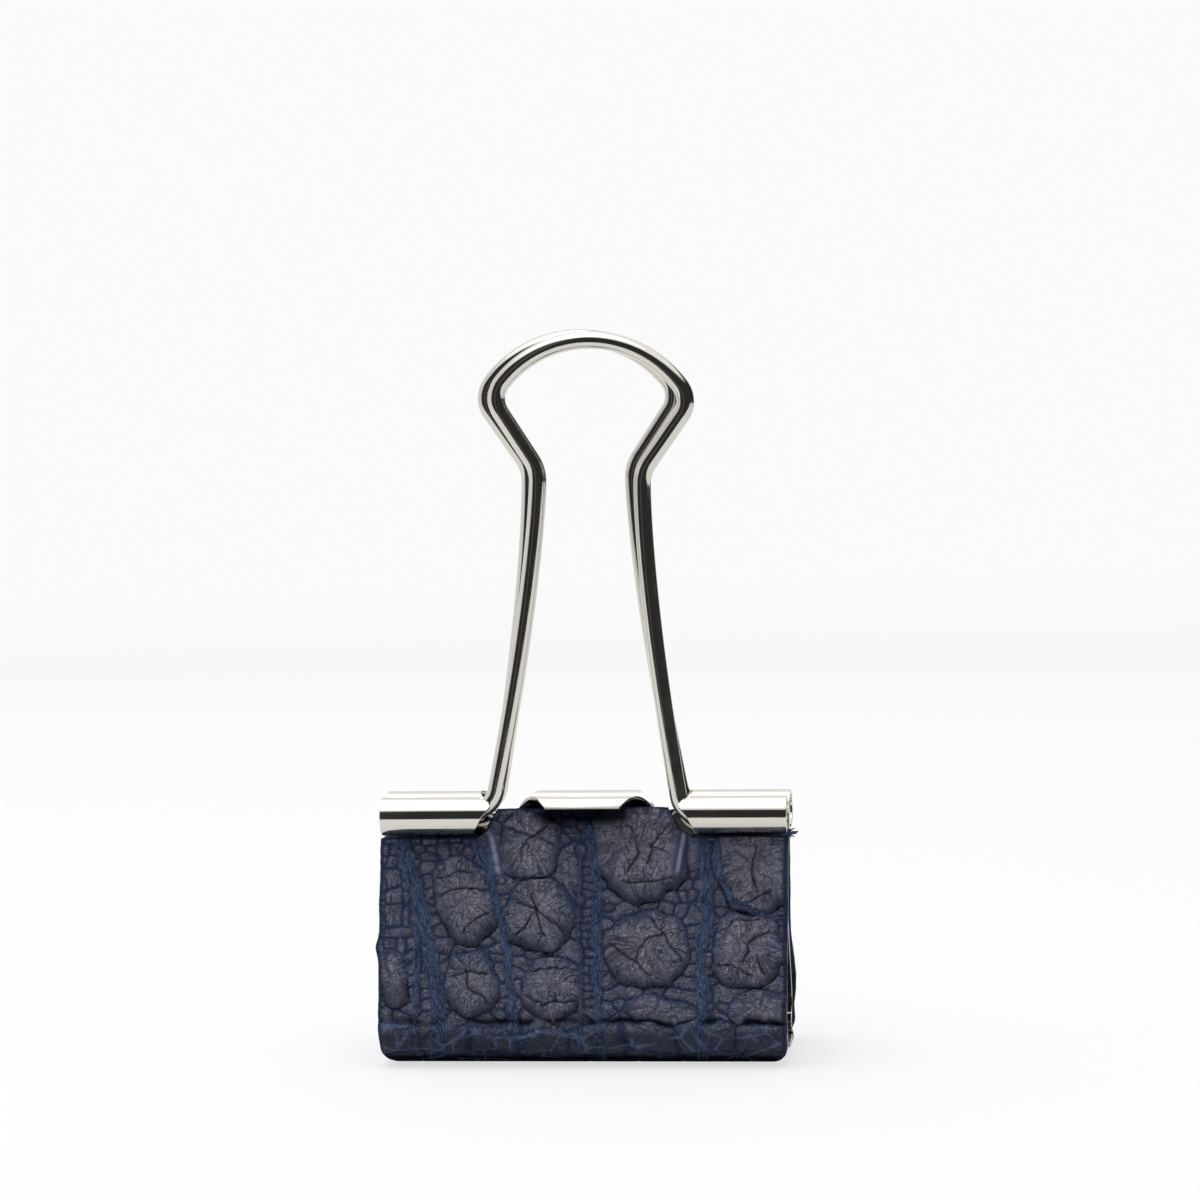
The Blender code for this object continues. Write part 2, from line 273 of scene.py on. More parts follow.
def leather_finish(name):
    """Dyed leather: blue furrows with fibres, rubbed and pebbled scale tops, wrinkles, dark lines, and
    painted shade in the wrinkles, between the pebbles and where the mesh marks it.
    """
    sizes = leather_sizes()
    material, nodes = new_material(name)
    flat = nodes.attribute("flat", "Vector")
    polar = nodes.attribute("polar", "Vector")
    strand = nodes.attribute("strand", "Vector")
    rub = nodes.attribute("rub", "Fac")
    crease_and_shade = nodes.attribute("crease_and_shade", "Fac")
    pressed = nodes.attribute("pressed", "Fac")
    web = nodes.attribute("web", "Fac")
    band = nodes.add("ShaderNodeSeparateXYZ", {0: strand}).outputs["Z"]

    def shifted(place, scale, amount):
        noise = nodes.add("ShaderNodeTexNoise", {"Vector": flat, "Scale": scale, "Detail": 3.0})
        drift = noise.outputs["Color"]
        return nodes.add("ShaderNodeVectorMath", {0: drift, 1: (amount, amount, 0.0), 2: place},
                         operation="MULTIPLY_ADD").outputs[0]

    def wrinkle(place, scale, half, cover, detail):
        fold = nodes.math("ABSOLUTE", nodes.math("SUBTRACT", nodes.noise(place, scale, detail), 0.5))
        broken = nodes.ramp(nodes.noise(flat, 0.9, 2.0), 0.60 - 0.3 * cover, 0.75 - 0.3 * cover)
        return nodes.math("MULTIPLY", nodes.ramp(fold, 0.0, half, 1.0, 0.0), broken)

    def pebble(place, scale):
        return nodes.add("ShaderNodeTexVoronoi", {"Vector": place, "Scale": scale},
                         feature="F1", voronoi_dimensions="2D").outputs["Distance"]

    bent = shifted(flat, 1.3, 0.9)
    jolted = shifted(bent, 4.5, 0.25)
    star = wrinkle(polar, *STAR_WRINKLE)
    long = wrinkle(bent, *LONG_WRINKLE)
    short = wrinkle(jolted, *SHORT_WRINKLE)
    coarse = pebble(jolted, 1.7)
    fine = pebble(jolted, 5.4)

    along = nodes.add("ShaderNodeVectorMath", {0: strand, 1: STRAND_STRETCH},
                      operation="MULTIPLY").outputs[0]
    fibre = nodes.add("ShaderNodeTexNoise", {"Vector": along, "Scale": 1.0, "Detail": 5.0,
                                             "Distortion": 1.2}).outputs["Fac"]
    ridge = nodes.ramp(nodes.math("ABSOLUTE", nodes.math("SUBTRACT", fibre, 0.5)), 0.0, 0.10, 1.0, 0.0)
    threads = nodes.math("MAXIMUM", nodes.math("MULTIPLY", ridge, band), nodes.math("MULTIPLY", web, 0.8))

    rough = nodes.math("SUBTRACT", 1.0, pressed)
    lines = nodes.math("MAXIMUM", nodes.math("MULTIPLY", star, 0.95), long)
    lines = nodes.math("MAXIMUM", lines, nodes.math("MULTIPLY", short, 0.75))
    lines = nodes.math("MULTIPLY", lines, nodes.ramp(rub, 0.05, 0.50, 0.35, 1.0))
    height = nodes.math("MULTIPLY_ADD", lines, -0.9, nodes.math("MULTIPLY", threads, 0.7))
    height = nodes.math("MULTIPLY_ADD", coarse, -0.55, height)
    height = nodes.math("MULTIPLY_ADD", fine, -1.2, height)
    bump = nodes.add("ShaderNodeBump", {"Strength": 1.0, "Distance": 0.00014,
                                        "Height": nodes.math("MULTIPLY", height, rough)})

    tone = nodes.ramp(nodes.noise(flat, 0.5, 3.0), 0.3, 0.7, 0.62, 1.0)
    # Painted shade in the low rims between the pebbles
    pebble_shade = nodes.math("MAXIMUM", nodes.ramp(fine, 0.30, 0.75, 0.0, 0.42),
                        nodes.ramp(coarse, 0.45, 0.8, 0.0, 0.3))
    valley = nodes.mix(threads, rgba(sizes.furrow), rgba(sizes.fibre))
    skin = nodes.mix(nodes.math("MULTIPLY", rub, tone), valley, rgba(sizes.scale))
    # Painted shade: wrinkles, pebble rims and the dark marks of the mesh pull the colour to the crease
    # colour, and the sheen drops there
    dark = nodes.math("MAXIMUM", nodes.math("MULTIPLY", lines, 0.82), pebble_shade)
    dark = nodes.math("MAXIMUM", crease_and_shade, nodes.math("MULTIPLY", dark, rough))
    dark = nodes.math("MULTIPLY", dark, nodes.ramp(threads, 0.2, 1.0, 1.0, 0.3))
    sheen = nodes.math("MULTIPLY", nodes.ramp(rub, 0.0, 1.0, 0.15, 0.38), nodes.math("SUBTRACT", 1.0, dark))
    shader = nodes.add("ShaderNodeBsdfPrincipled", {
        "Base Color": nodes.mix(dark, skin, rgba(sizes.crease_and_shade)),
        "Roughness": nodes.ramp(rub, 0.0, 1.0, 0.60, 0.46),
        "Specular IOR Level": sheen,
        "Normal": bump.outputs["Normal"],
    })
    nodes.add("ShaderNodeOutputMaterial", {"Surface": shader.outputs[0]})
    return material


class Section:
    """Front half of the strip's section in the YZ plane: base, bend, leaning wall and rolled edge."""

    def __init__(self):
        sizes = strip_sizes()
        self.base = SPINE_LOW.z + sizes.sheet / 2
        self.bend_mean = sizes.bend_radius - sizes.sheet / 2
        self.tube_mean = sizes.tube_radius - sizes.sheet / 2
        self.bend = np.array((sizes.bend_radius - sizes.spine_depth / 2, self.base + self.bend_mean))
        self.tube = np.array((PIVOT.y, PIVOT.z))
        run = self.tube - self.bend
        self.lean = atan2(run[0], run[1]) + asin((self.bend_mean + self.tube_mean) / hypot(*run))
        self.up = np.array((sin(self.lean), cos(self.lean)))
        self.out = np.array((-cos(self.lean), sin(self.lean)))
        self.foot = self.bend + self.out * self.bend_mean
        self.head = self.tube - self.out * self.tube_mean
        self.wall = float(np.linalg.norm(self.head - self.foot))
        self.sweep = pi / 2 + self.lean

    def face_length(self, offset):
        """From the lip's root to the middle of the base, along a face at an offset."""
        return self.wall + (self.bend_mean + offset) * self.sweep - self.bend[0]

    def at(self, drop, offset, face):
        """Points and outward directions at drops along a face, moved to other offsets from the sheet."""
        turn = np.clip((drop - self.wall) / (self.bend_mean + face), 0.0, self.sweep)
        arc = (self.bend_mean + face) * self.sweep
        along = np.clip(drop - self.wall - arc, 0.0, None)
        climb = np.clip(self.wall - drop, 0.0, None)
        direction = pi - self.lean + turn
        normal = np.stack((np.cos(direction), np.sin(direction)), -1)
        point = self.bend + normal * (self.bend_mean + offset)[..., None]
        point = point + climb[..., None] * self.up
        point[..., 0] += along
        return point, normal


def arc(centre, radius, start, sweep, step):
    """Points on an arc in a plane, both ends included."""
    count = max(2, round(abs(sweep) / step))
    turns = np.linspace(start, start + sweep, count + 1)
    return np.stack((centre[0] + radius * np.cos(turns), centre[1] + radius * np.sin(turns)), 1)


def link(name, mesh, material):
    item = bpy.data.objects.new(name, mesh)
    bpy.context.scene.collection.objects.link(item)
    item.data.materials.append(material)
    return item


# Inner end of a tube: angle along the roll in degrees, and distance from the middle in millimetres
TUBE_END = ((0, 6.5), (45, 7.5), (80, 8.3), (118, 8.25), (136, 7.86), (147, 7.58), (160, 7.4),
            (177, 7.6), (197, 8.02), (225, 8.4), (252, 8.72), (285, 8.95), (300, 9.0))
MOUTH_SHIFT = 0.00013
FINE_STEP = radians(3.0)
WALL_ROWS = 30
LIP_STRAIGHT = 0.24


def tube_end(roll):
    """Smooth line through the listed ends."""
    turns, ends = np.array(TUBE_END, float).T
    slopes = np.gradient(ends, turns)
    at = np.degrees(roll)
    seat = np.clip(np.searchsorted(turns, at) - 1, 0, len(turns) - 2)
    span = turns[seat + 1] - turns[seat]
    t = (at - turns[seat]) / span
    start = (1 + 2 * t) * (1 - t) ** 2 * ends[seat] + t * (1 - t) ** 2 * span * slopes[seat]
    stop = t ** 2 * (3 - 2 * t) * ends[seat + 1] + t ** 2 * (t - 1) * span * slopes[seat + 1]
    return (start + stop) * MM


# The rear wall's right end is cut out of square: drops from the lip's root, and what is cut off there
SKEW_DROPS = (0.0, 4.0, 9.0, 18.5)
SKEW = (0.0, 0.28, 0.55, 0.55, 0.0)


def end_skew(line, side):
    """What the left end of a half loses at each point of its section line, listed from the seam up."""
    if side == "front":
        return np.zeros(len(line))
    runs = np.hypot(*np.diff(line, axis=0).T)
    drops = np.append(np.cumsum(runs[::-1])[::-1], 0.0)
    seam = drops[0] / MM
    return np.interp(drops / MM, (*SKEW_DROPS, seam), SKEW) * MM


def strip_ribbons(section, side):
    """Section lines of one half, each with its low and high ends along X at every point."""
    sizes = strip_sizes()
    half = sizes.width / 2
    root = sizes.lip_root
    tube_root = root + sizes.notch
    base = np.array(((0.0, section.base), (section.bend[0], section.base)))
    bend = arc(section.bend, section.bend_mean, 1.5 * pi, -section.sweep, FINE_STEP)
    climbs = np.linspace(0.0, section.wall, WALL_ROWS + 1)[1:, None]
    line = np.concatenate((base, bend[1:], section.foot + climbs * section.up))
    ends = (-half, -tube_root, -root, root, tube_root, half)
    ribbons = []
    skew = end_skew(line, side)
    for low, high in zip(ends, ends[1:]):
        lost = skew if low == -half else 0.0
        ribbons.append((line, np.full(len(line), low) + lost, np.full(len(line), high)))

    tube = arc(section.tube, section.tube_mean, -section.lean, sizes.tube_curl, FINE_STEP)
    rolls = np.linspace(0.0, sizes.tube_curl, len(tube))
    inner = tube_end(rolls)
    shift = MOUTH_SHIFT * np.clip(rolls, 0.0, 1.0)
    ribbons.append((tube, shift + inner, np.full(len(tube), half)))
    ribbons.append((tube, np.full(len(tube), -half), shift - inner))

    lip = arc(section.tube, section.tube_mean, -section.lean, sizes.lip_curl, FINE_STEP)
    turns = np.linspace(0.0, 1.0, len(lip))
    widths = np.interp(turns, (0.0, LIP_STRAIGHT, 1.0), (root, root, sizes.lip_free))
    ribbons.append((lip, -widths, widths))
    return ribbons


def thicken(mesh, thickness):
    """Same mesh as a sheet with thickness on both sides."""
    guide = bpy.data.objects.new("guide", mesh)
    bpy.context.scene.collection.objects.link(guide)
    solid = guide.modifiers.new("thickness", "SOLIDIFY")
    solid.thickness = thickness
    solid.offset = 0.0
    solid.use_even_offset = True
    bpy.context.view_layer.update()
    seen = guide.evaluated_get(bpy.context.evaluated_depsgraph_get())
    made = bpy.data.meshes.new_from_object(seen)
    bpy.data.objects.remove(guide)
    return made


SHARP = radians(50.0)


def round_edges(mesh, width):
    """Round the cut edges of the sheet, apart from the seam in the middle of the base."""
    bm = bmesh.new()
    bm.from_mesh(mesh)
    edges = []
    for edge in bm.edges:
        on_seam = all(abs(vert.co.y) < 1e-6 for vert in edge.verts)
        if len(edge.link_faces) == 2 and edge.calc_face_angle() > SHARP and not on_seam:
            edges.append(edge)
    bmesh.ops.bevel(bm, geom=edges, offset=width, segments=2, profile=0.5, affect="EDGES",
                    clamp_overlap=True)
    bm.to_mesh(mesh)
    bm.free()
    mesh.shade_smooth()


def mark_cut_ends(mesh):
    """Share of bare cut steel on each face: the sheared ends of the walls and the base."""
    low_enough = PIVOT.z - 2 * MM
    shares = []
    for face in mesh.polygons:
        at_end = abs(face.normal.x) > 0.7 and abs(face.center.x) > strip_sizes().width / 2 - 1 * MM
        shares.append(float(at_end and face.center.z < low_enough))
    mesh.attributes.new("cut", "FLOAT", "FACE").data.foreach_set("value", shares)


def make_strip_half(side, section, material):
    sizes = strip_sizes()
    bm = bmesh.new()
    for line, lows, highs in strip_ribbons(section, side):
        rows = [[bm.verts.new((x, y, z)) for x in (low, high)]
                for (y, z), low, high in zip(line, lows, highs)]
        for below, above in zip(rows, rows[1:]):
            bm.faces.new((below[0], below[1], above[1], above[0]))
    bmesh.ops.remove_doubles(bm, verts=bm.verts, dist=sizes.sheet / 100)
    bmesh.ops.recalc_face_normals(bm, faces=bm.faces)
    sheet = bpy.data.meshes.new(f"{side}_strip_sheet")
    bm.to_mesh(sheet)
    bm.free()
    mesh = thicken(sheet, sizes.sheet)
    round_edges(mesh, sizes.edge_round)
    mark_cut_ends(mesh)
    mesh.transform(TURNS[side])
    item = link(f"{side}_strip", mesh, material)
    item.modifiers.new("normals", "WEIGHTED_NORMAL")
    bend_with_jaw(item)
    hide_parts("spine", f"{side}_jaw")


def bend_with_jaw(item):
    """Bake the object's placement into its mesh."""
    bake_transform(item)


def leg_x(height):
    """Leg's distance from the middle: upright at the neck, sweeping out towards the pivot."""
    sizes = handle_sizes()
    drop = (sizes.neck_height - height) / sizes.neck_height
    return sizes.neck_half + (sizes.leg_spread - sizes.neck_half) * drop ** sizes.leg_bow


def leg_tilt(height):
    sizes = handle_sizes()
    drop = (sizes.neck_height - height) / sizes.neck_height
    sweep = (sizes.leg_spread - sizes.neck_half) * sizes.leg_bow
    return atan(sweep * drop ** (sizes.leg_bow - 1) / sizes.neck_height)


LEG_POINTS = 60
FOOT_POINTS = 16


def handle_path():
    """Centre line of a handle in its own plane, from one foot to the other, with the pivot on X."""
    sizes = handle_sizes()
    top = Vector((0.0, sizes.neck_height + sizes.loop_rise - sizes.top_bend))
    reach = sizes.top_bend - sizes.shoulder_bend
    shoulder_x = sizes.loop_half - sizes.shoulder_bend
    shoulder = top + Vector((shoulder_x, sqrt(reach ** 2 - shoulder_x ** 2)))
    neck = Vector((sizes.neck_half + sizes.neck_bend, sizes.neck_height))
    meet = asin(shoulder_x / reach)
    run = shoulder - neck
    slant = atan2(run.x, run.y) + asin((sizes.shoulder_bend + sizes.neck_bend) / run.length)

    height = sizes.foot_bend * (1 - sin(leg_tilt(0.0)))
    tilt = leg_tilt(height)
    radius = height / (1 - sin(tilt))
    heel = Vector((leg_x(height) + radius * cos(tilt), radius))
    leg = [(leg_x(h), h) for h in np.linspace(sizes.neck_height, height, LEG_POINTS)]
    right = np.concatenate((
        arc(top, sizes.top_bend, pi / 2, -meet, FINE_STEP / 2),
        arc(shoulder, sizes.shoulder_bend, pi / 2 - meet, meet - pi / 2 - slant, FINE_STEP)[1:],
        arc(neck, sizes.neck_bend, pi - slant, slant, FINE_STEP),
        np.array(leg[1:]),
        arc(heel, radius, pi + tilt, pi / 2 - tilt, FINE_STEP)[1:],
        np.linspace((heel.x, 0.0), (sizes.foot_end, 0.0), FOOT_POINTS)[1:],
    ))
    left = right[:0:-1] * (-1, 1)
    return np.concatenate((left, right))


def handle_seat(side, fold):
    """Handle's place before its half is turned: slid, leaning in its tubes, then folded."""
    sizes = handle_sizes()
    slide = sizes.front_slide if side == "front" else sizes.rear_slide
    lean = sizes.front_lean if side == "front" else sizes.rear_lean
    seat = Matrix.Translation((slide, PIVOT.y, PIVOT.z))
    return seat @ Matrix.Rotation(fold, 4, "X") @ Matrix.Rotation(lean, 4, "Y")


WIRE_BEVEL = 8


def make_handle(side, material):
    path = handle_path()
    curve = bpy.data.curves.new(f"{side}_wire", "CURVE")
    curve.dimensions = "3D"
    curve.bevel_depth = handle_sizes().wire / 2
    curve.bevel_resolution = WIRE_BEVEL
    curve.use_fill_caps = True
    spline = curve.splines.new("POLY")
    spline.points.add(len(path) - 1)
    for knot, (x, z) in zip(spline.points, path):
        knot.co = (x, 0.0, z, 1.0)
    guide = bpy.data.objects.new("guide", curve)
    bpy.context.scene.collection.objects.link(guide)
    bpy.context.view_layer.update()
    mesh = bpy.data.meshes.new_from_object(guide)
    bpy.data.objects.remove(guide)
    mesh.transform(TURNS[side] @ handle_seat(side, 0.0))
    mesh.shade_smooth()
    mesh.set_sharp_from_angle(angle=SHARP)
    item = link(f"{side}_wire_handle", mesh, material)
    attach(item, f"{side}_handle")
    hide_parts(f"{side}_handle")


# Large scales on the front: x, drop, half width, half height, turn in degrees, squareness
FRONT_SCALES = (
    (-9.4, 6.7, 2.25, 3.6, -17, 2.6), (-4.35, 2.2, 2.45, 2.55, 0, 3.0), (-3.4, 7.8, 2.75, 2.9, 0, 2.4),
    (-8.6, 13.3, 2.15, 2.6, -8, 2.5), (-2.3, 13.6, 2.3, 2.35, 0, 2.8), (-14.8, 12.8, 1.2, 2.3, -10, 2.5),
    (4.4, 2.6, 3.7, 4.2, -28, 2.8), (5.1, 10.5, 3.35, 3.1, 0, 2.4), (13.4, 4.2, 3.1, 3.6, -20, 2.8),
    (12.9, 10.5, 2.65, 3.0, 0, 3.0), (13.9, 15.2, 2.3, 1.35, -8, 2.4), (6.1, 15.3, 2.7, 1.1, 6, 2.4),
)
# Small scales beside them
FRONT_CELLS = (
    (-15.2, 3.6, 0.42, 0.4), (-15.1, 4.9, 0.5, 0.75), (-14.8, 6.3, 0.62, 0.6), (-14.9, 7.7, 0.7, 0.7),
    (-13.9, 8.0, 0.32, 0.55), (-14.3, 9.2, 0.85, 0.45), (-13.5, 10.1, 0.5, 0.45), (-13.3, 11.0, 0.35, 0.4),
    (-13.6, 3.1, 0.3, 0.3), (-13.4, 3.8, 0.28, 0.3), (-13.2, 4.5, 0.25, 0.3), (-13.1, 5.1, 0.25, 0.25),
    (-12.5, 3.2, 0.42, 0.38), (-12.4, 4.1, 0.45, 0.42), (-12.3, 5.0, 0.3, 0.35), (-10.9, 10.3, 0.6, 0.5),
    (-6.7, 9.5, 0.45, 0.35), (-6.6, 10.5, 0.75, 0.38), (-5.2, 10.5, 0.6, 0.32), (-7.0, 11.3, 0.6, 0.3),
    (-6.6, 12.2, 0.42, 0.45), (-4.9, 11.5, 0.75, 0.4), (-0.6, 10.7, 0.65, 0.82), (-1.0, 4.6, 0.42, 2.6),
    (1.6, 5.3, 0.5, 0.42), (2.1, 6.3, 0.75, 0.5), (3.2, 7.75, 1.3, 0.55), (8.6, 8.0, 0.6, 0.6),
    (8.8, 9.0, 0.5, 0.45), (8.4, 13.3, 0.7, 0.5), (8.7, 12.3, 0.5, 0.45), (11.0, 6.5, 0.55, 0.7),
    (11.0, 14.1, 0.8, 0.5), (15.3, 13.3, 0.5, 0.5), (2.9, 14.0, 1.0, 0.55), (7.6, 14.2, 1.1, 0.5),
    (2.2, 15.2, 0.6, 0.45), (-0.9, 1.3, 0.5, 0.6), (8.4, 3.3, 0.7, 1.3), (-9.7, 10.6, 0.5, 0.3),
)
# Furrows packed with fibres: half width, then the points they run through
FRONT_FURROWS = (
    (0.55, (-14.7, 1.8), (-13.7, 4.5), (-13.0, 6.8), (-12.4, 9.2), (-11.8, 11.6),
     (-11.2, 14.2), (-10.9, 19.0)),
    (0.26, (-13.1, 9.0), (-12.9, 12.0), (-13.1, 15.0), (-13.0, 19.5)),
    (0.34, (-8.6, 2.0), (-7.5, 4.4), (-6.6, 7.0), (-6.1, 9.2), (-5.8, 11.6), (-5.5, 14.0), (-4.8, 19.0)),
    (0.36, (0.4, 1.0), (1.0, 4.5), (1.2, 8.0), (1.25, 12.0), (1.3, 16.0), (1.4, 20.0)),
    (0.12, (-0.35, 3.0), (-0.3, 8.0), (-0.1, 12.0), (0.0, 19.0)),
    (0.46, (9.3, 2.0), (9.7, 5.0), (9.7, 8.0), (9.3, 11.0), (9.4, 14.0), (9.3, 20.0)),
    (0.20, (10.6, 2.4), (10.6, 5.0), (11.6, 6.4), (13.2, 7.5), (16.0, 8.3)),
)
# Deep creases that cross the scales
FRONT_CREASES = (
    ((-12.0, 6.6), (-10.6, 6.0), (-9.9, 5.8), (-7.8, 5.9)), ((-11.8, 5.0), (-10.4, 4.7), (-8.6, 4.2)),
    ((-9.4, 9.2), (-8.2, 8.1), (-7.2, 7.6)), ((-11.8, 5.0), (-11.2, 4.3), (-11.9, 3.6)),
    ((-6.6, 0.7), (-5.0, 1.3), (-4.1, 1.7), (-2.4, 2.3)), ((-4.1, 1.7), (-2.9, 0.8)),
    ((-4.1, 1.7), (-4.9, 2.6), (-5.0, 3.6)), ((-3.7, 7.4), (-4.0, 6.0)), ((-3.7, 7.4), (-5.8, 6.8)),
    ((-3.7, 7.4), (-2.2, 8.6), (-1.4, 9.3)), ((-3.7, 7.4), (-2.9, 9.6)), ((-3.7, 7.4), (-5.0, 9.5)),
    ((-10.4, 12.8), (-9.0, 12.3), (-7.4, 12.5)), ((-9.0, 12.3), (-8.6, 13.8), (-7.0, 15.0)),
    ((-4.5, 14.2), (-3.0, 14.9), (-0.4, 14.6)), ((-4.2, 12.4), (-2.2, 12.1), (-0.2, 12.3)),
    ((1.6, 9.0), (2.8, 8.6), (4.2, 7.9), (5.2, 8.0)), ((5.2, 8.0), (6.3, 9.4), (7.9, 11.6)),
    ((2.2, 10.2), (3.6, 11.1), (5.4, 12.6)), ((4.3, 11.4), (5.0, 9.9), (6.2, 9.4)),
    ((3.2, 5.3), (5.2, 5.4), (6.8, 5.0), (8.8, 4.4)), ((3.4, 4.6), (4.3, 2.9), (3.9, 1.0)),
    ((5.0, 3.8), (5.6, 2.2), (6.6, 0.6)), ((13.6, 6.2), (13.2, 4.4), (13.6, 2.6)), ((14.8, 6.0), (12.4, 7.0)),
    ((10.5, 9.1), (11.3, 9.0), (11.9, 8.4), (13.8, 8.2)), ((12.7, 11.6), (13.2, 10.0), (14.6, 9.2)),
    ((10.3, 11.8), (12.0, 11.9), (13.4, 12.8)), ((13.6, 11.2), (14.2, 12.6)),
)
BEAD_COLUMN = (0.35, 1.6, 15.6, 0.66)
LARGE = 1.05          # half size from which a scale counts as large
STAR = 2.6            # how closely the spokes of a large scale stand
HOLD = 6.0            # how firmly a large scale keeps its outline against its neighbours
WARP = 0.34           # wander of every outline
WARP_PITCH = 1.1
CREASE_HALF = 0.095   # half width of a deep crease
# Darkness painted into cracks, spokes, rungs and deep creases: painted shade in the creases, with darker dye
CRACK_DARK = 0.8
SPOKE_DARK = 0.60
RUNG_DARK = 0.35
DEEP_DARK = 0.98
NOISE_KNOTS = 64


def smooth_noise(x, y, seed):
    """Smooth noise from 0 to 1 with one knot per unit."""
    knots = np.random.default_rng(seed).random((NOISE_KNOTS, NOISE_KNOTS))
    column = np.floor(x).astype(int)
    row = np.floor(y).astype(int)
    fx = x - column
    fy = y - row
    fx = fx ** 2 * (3 - 2 * fx)
    fy = fy ** 2 * (3 - 2 * fy)

    def knot(i, j):
        return knots[(column + i) % NOISE_KNOTS, (row + j) % NOISE_KNOTS]

    low = knot(0, 0) * (1 - fx) + knot(1, 0) * fx
    high = knot(0, 1) * (1 - fx) + knot(1, 1) * fx
    return low * (1 - fy) + high * fy


def net_gap(x, y, seed):
    """Distance to the nearest line of an irregular net with about one mesh per unit."""
    jitter = np.random.default_rng(seed).random((NOISE_KNOTS, NOISE_KNOTS, 2))
    column = np.floor(x).astype(int)
    row = np.floor(y).astype(int)
    first = np.full(x.shape, 9.0)
    second = np.full(x.shape, 9.0)
    for i in (-1, 0, 1):
        for j in (-1, 0, 1):
            seat = jitter[(column + i) % NOISE_KNOTS, (row + j) % NOISE_KNOTS]
            gap = np.hypot(column + i + seat[..., 0] - x, row + j + seat[..., 1] - y)
            second = np.where(gap < first, first, np.minimum(second, gap))
            first = np.minimum(first, gap)
    return (second - first) / 2


def line_gap(x, y, points):
    """Distance to a line through points, and the run along it."""
    best = np.full(x.shape, 99.0)
    signed = np.zeros(x.shape)
    run = np.zeros(x.shape)
    start_run = 0.0
    for (x0, y0), (x1, y1) in zip(points, points[1:]):
        dx, dy = x1 - x0, y1 - y0
        size = hypot(dx, dy)
        t = np.clip(((x - x0) * dx + (y - y0) * dy) / size ** 2, 0.0, 1.0)
        gap = np.hypot(x - x0 - t * dx, y - y0 - t * dy)
        closer = gap < best
        side = np.sign((x - x0) * dy - (y - y0) * dx)
        signed = np.where(closer, gap * side, signed)
        run = np.where(closer, start_run + t * size, run)
        best = np.where(closer, gap, best)
        start_run += size
    return best, signed, run


def step(value, low, high):
    t = np.clip((value - low) / (high - low), 0.0, 1.0)
    return t * t * (3 - 2 * t)


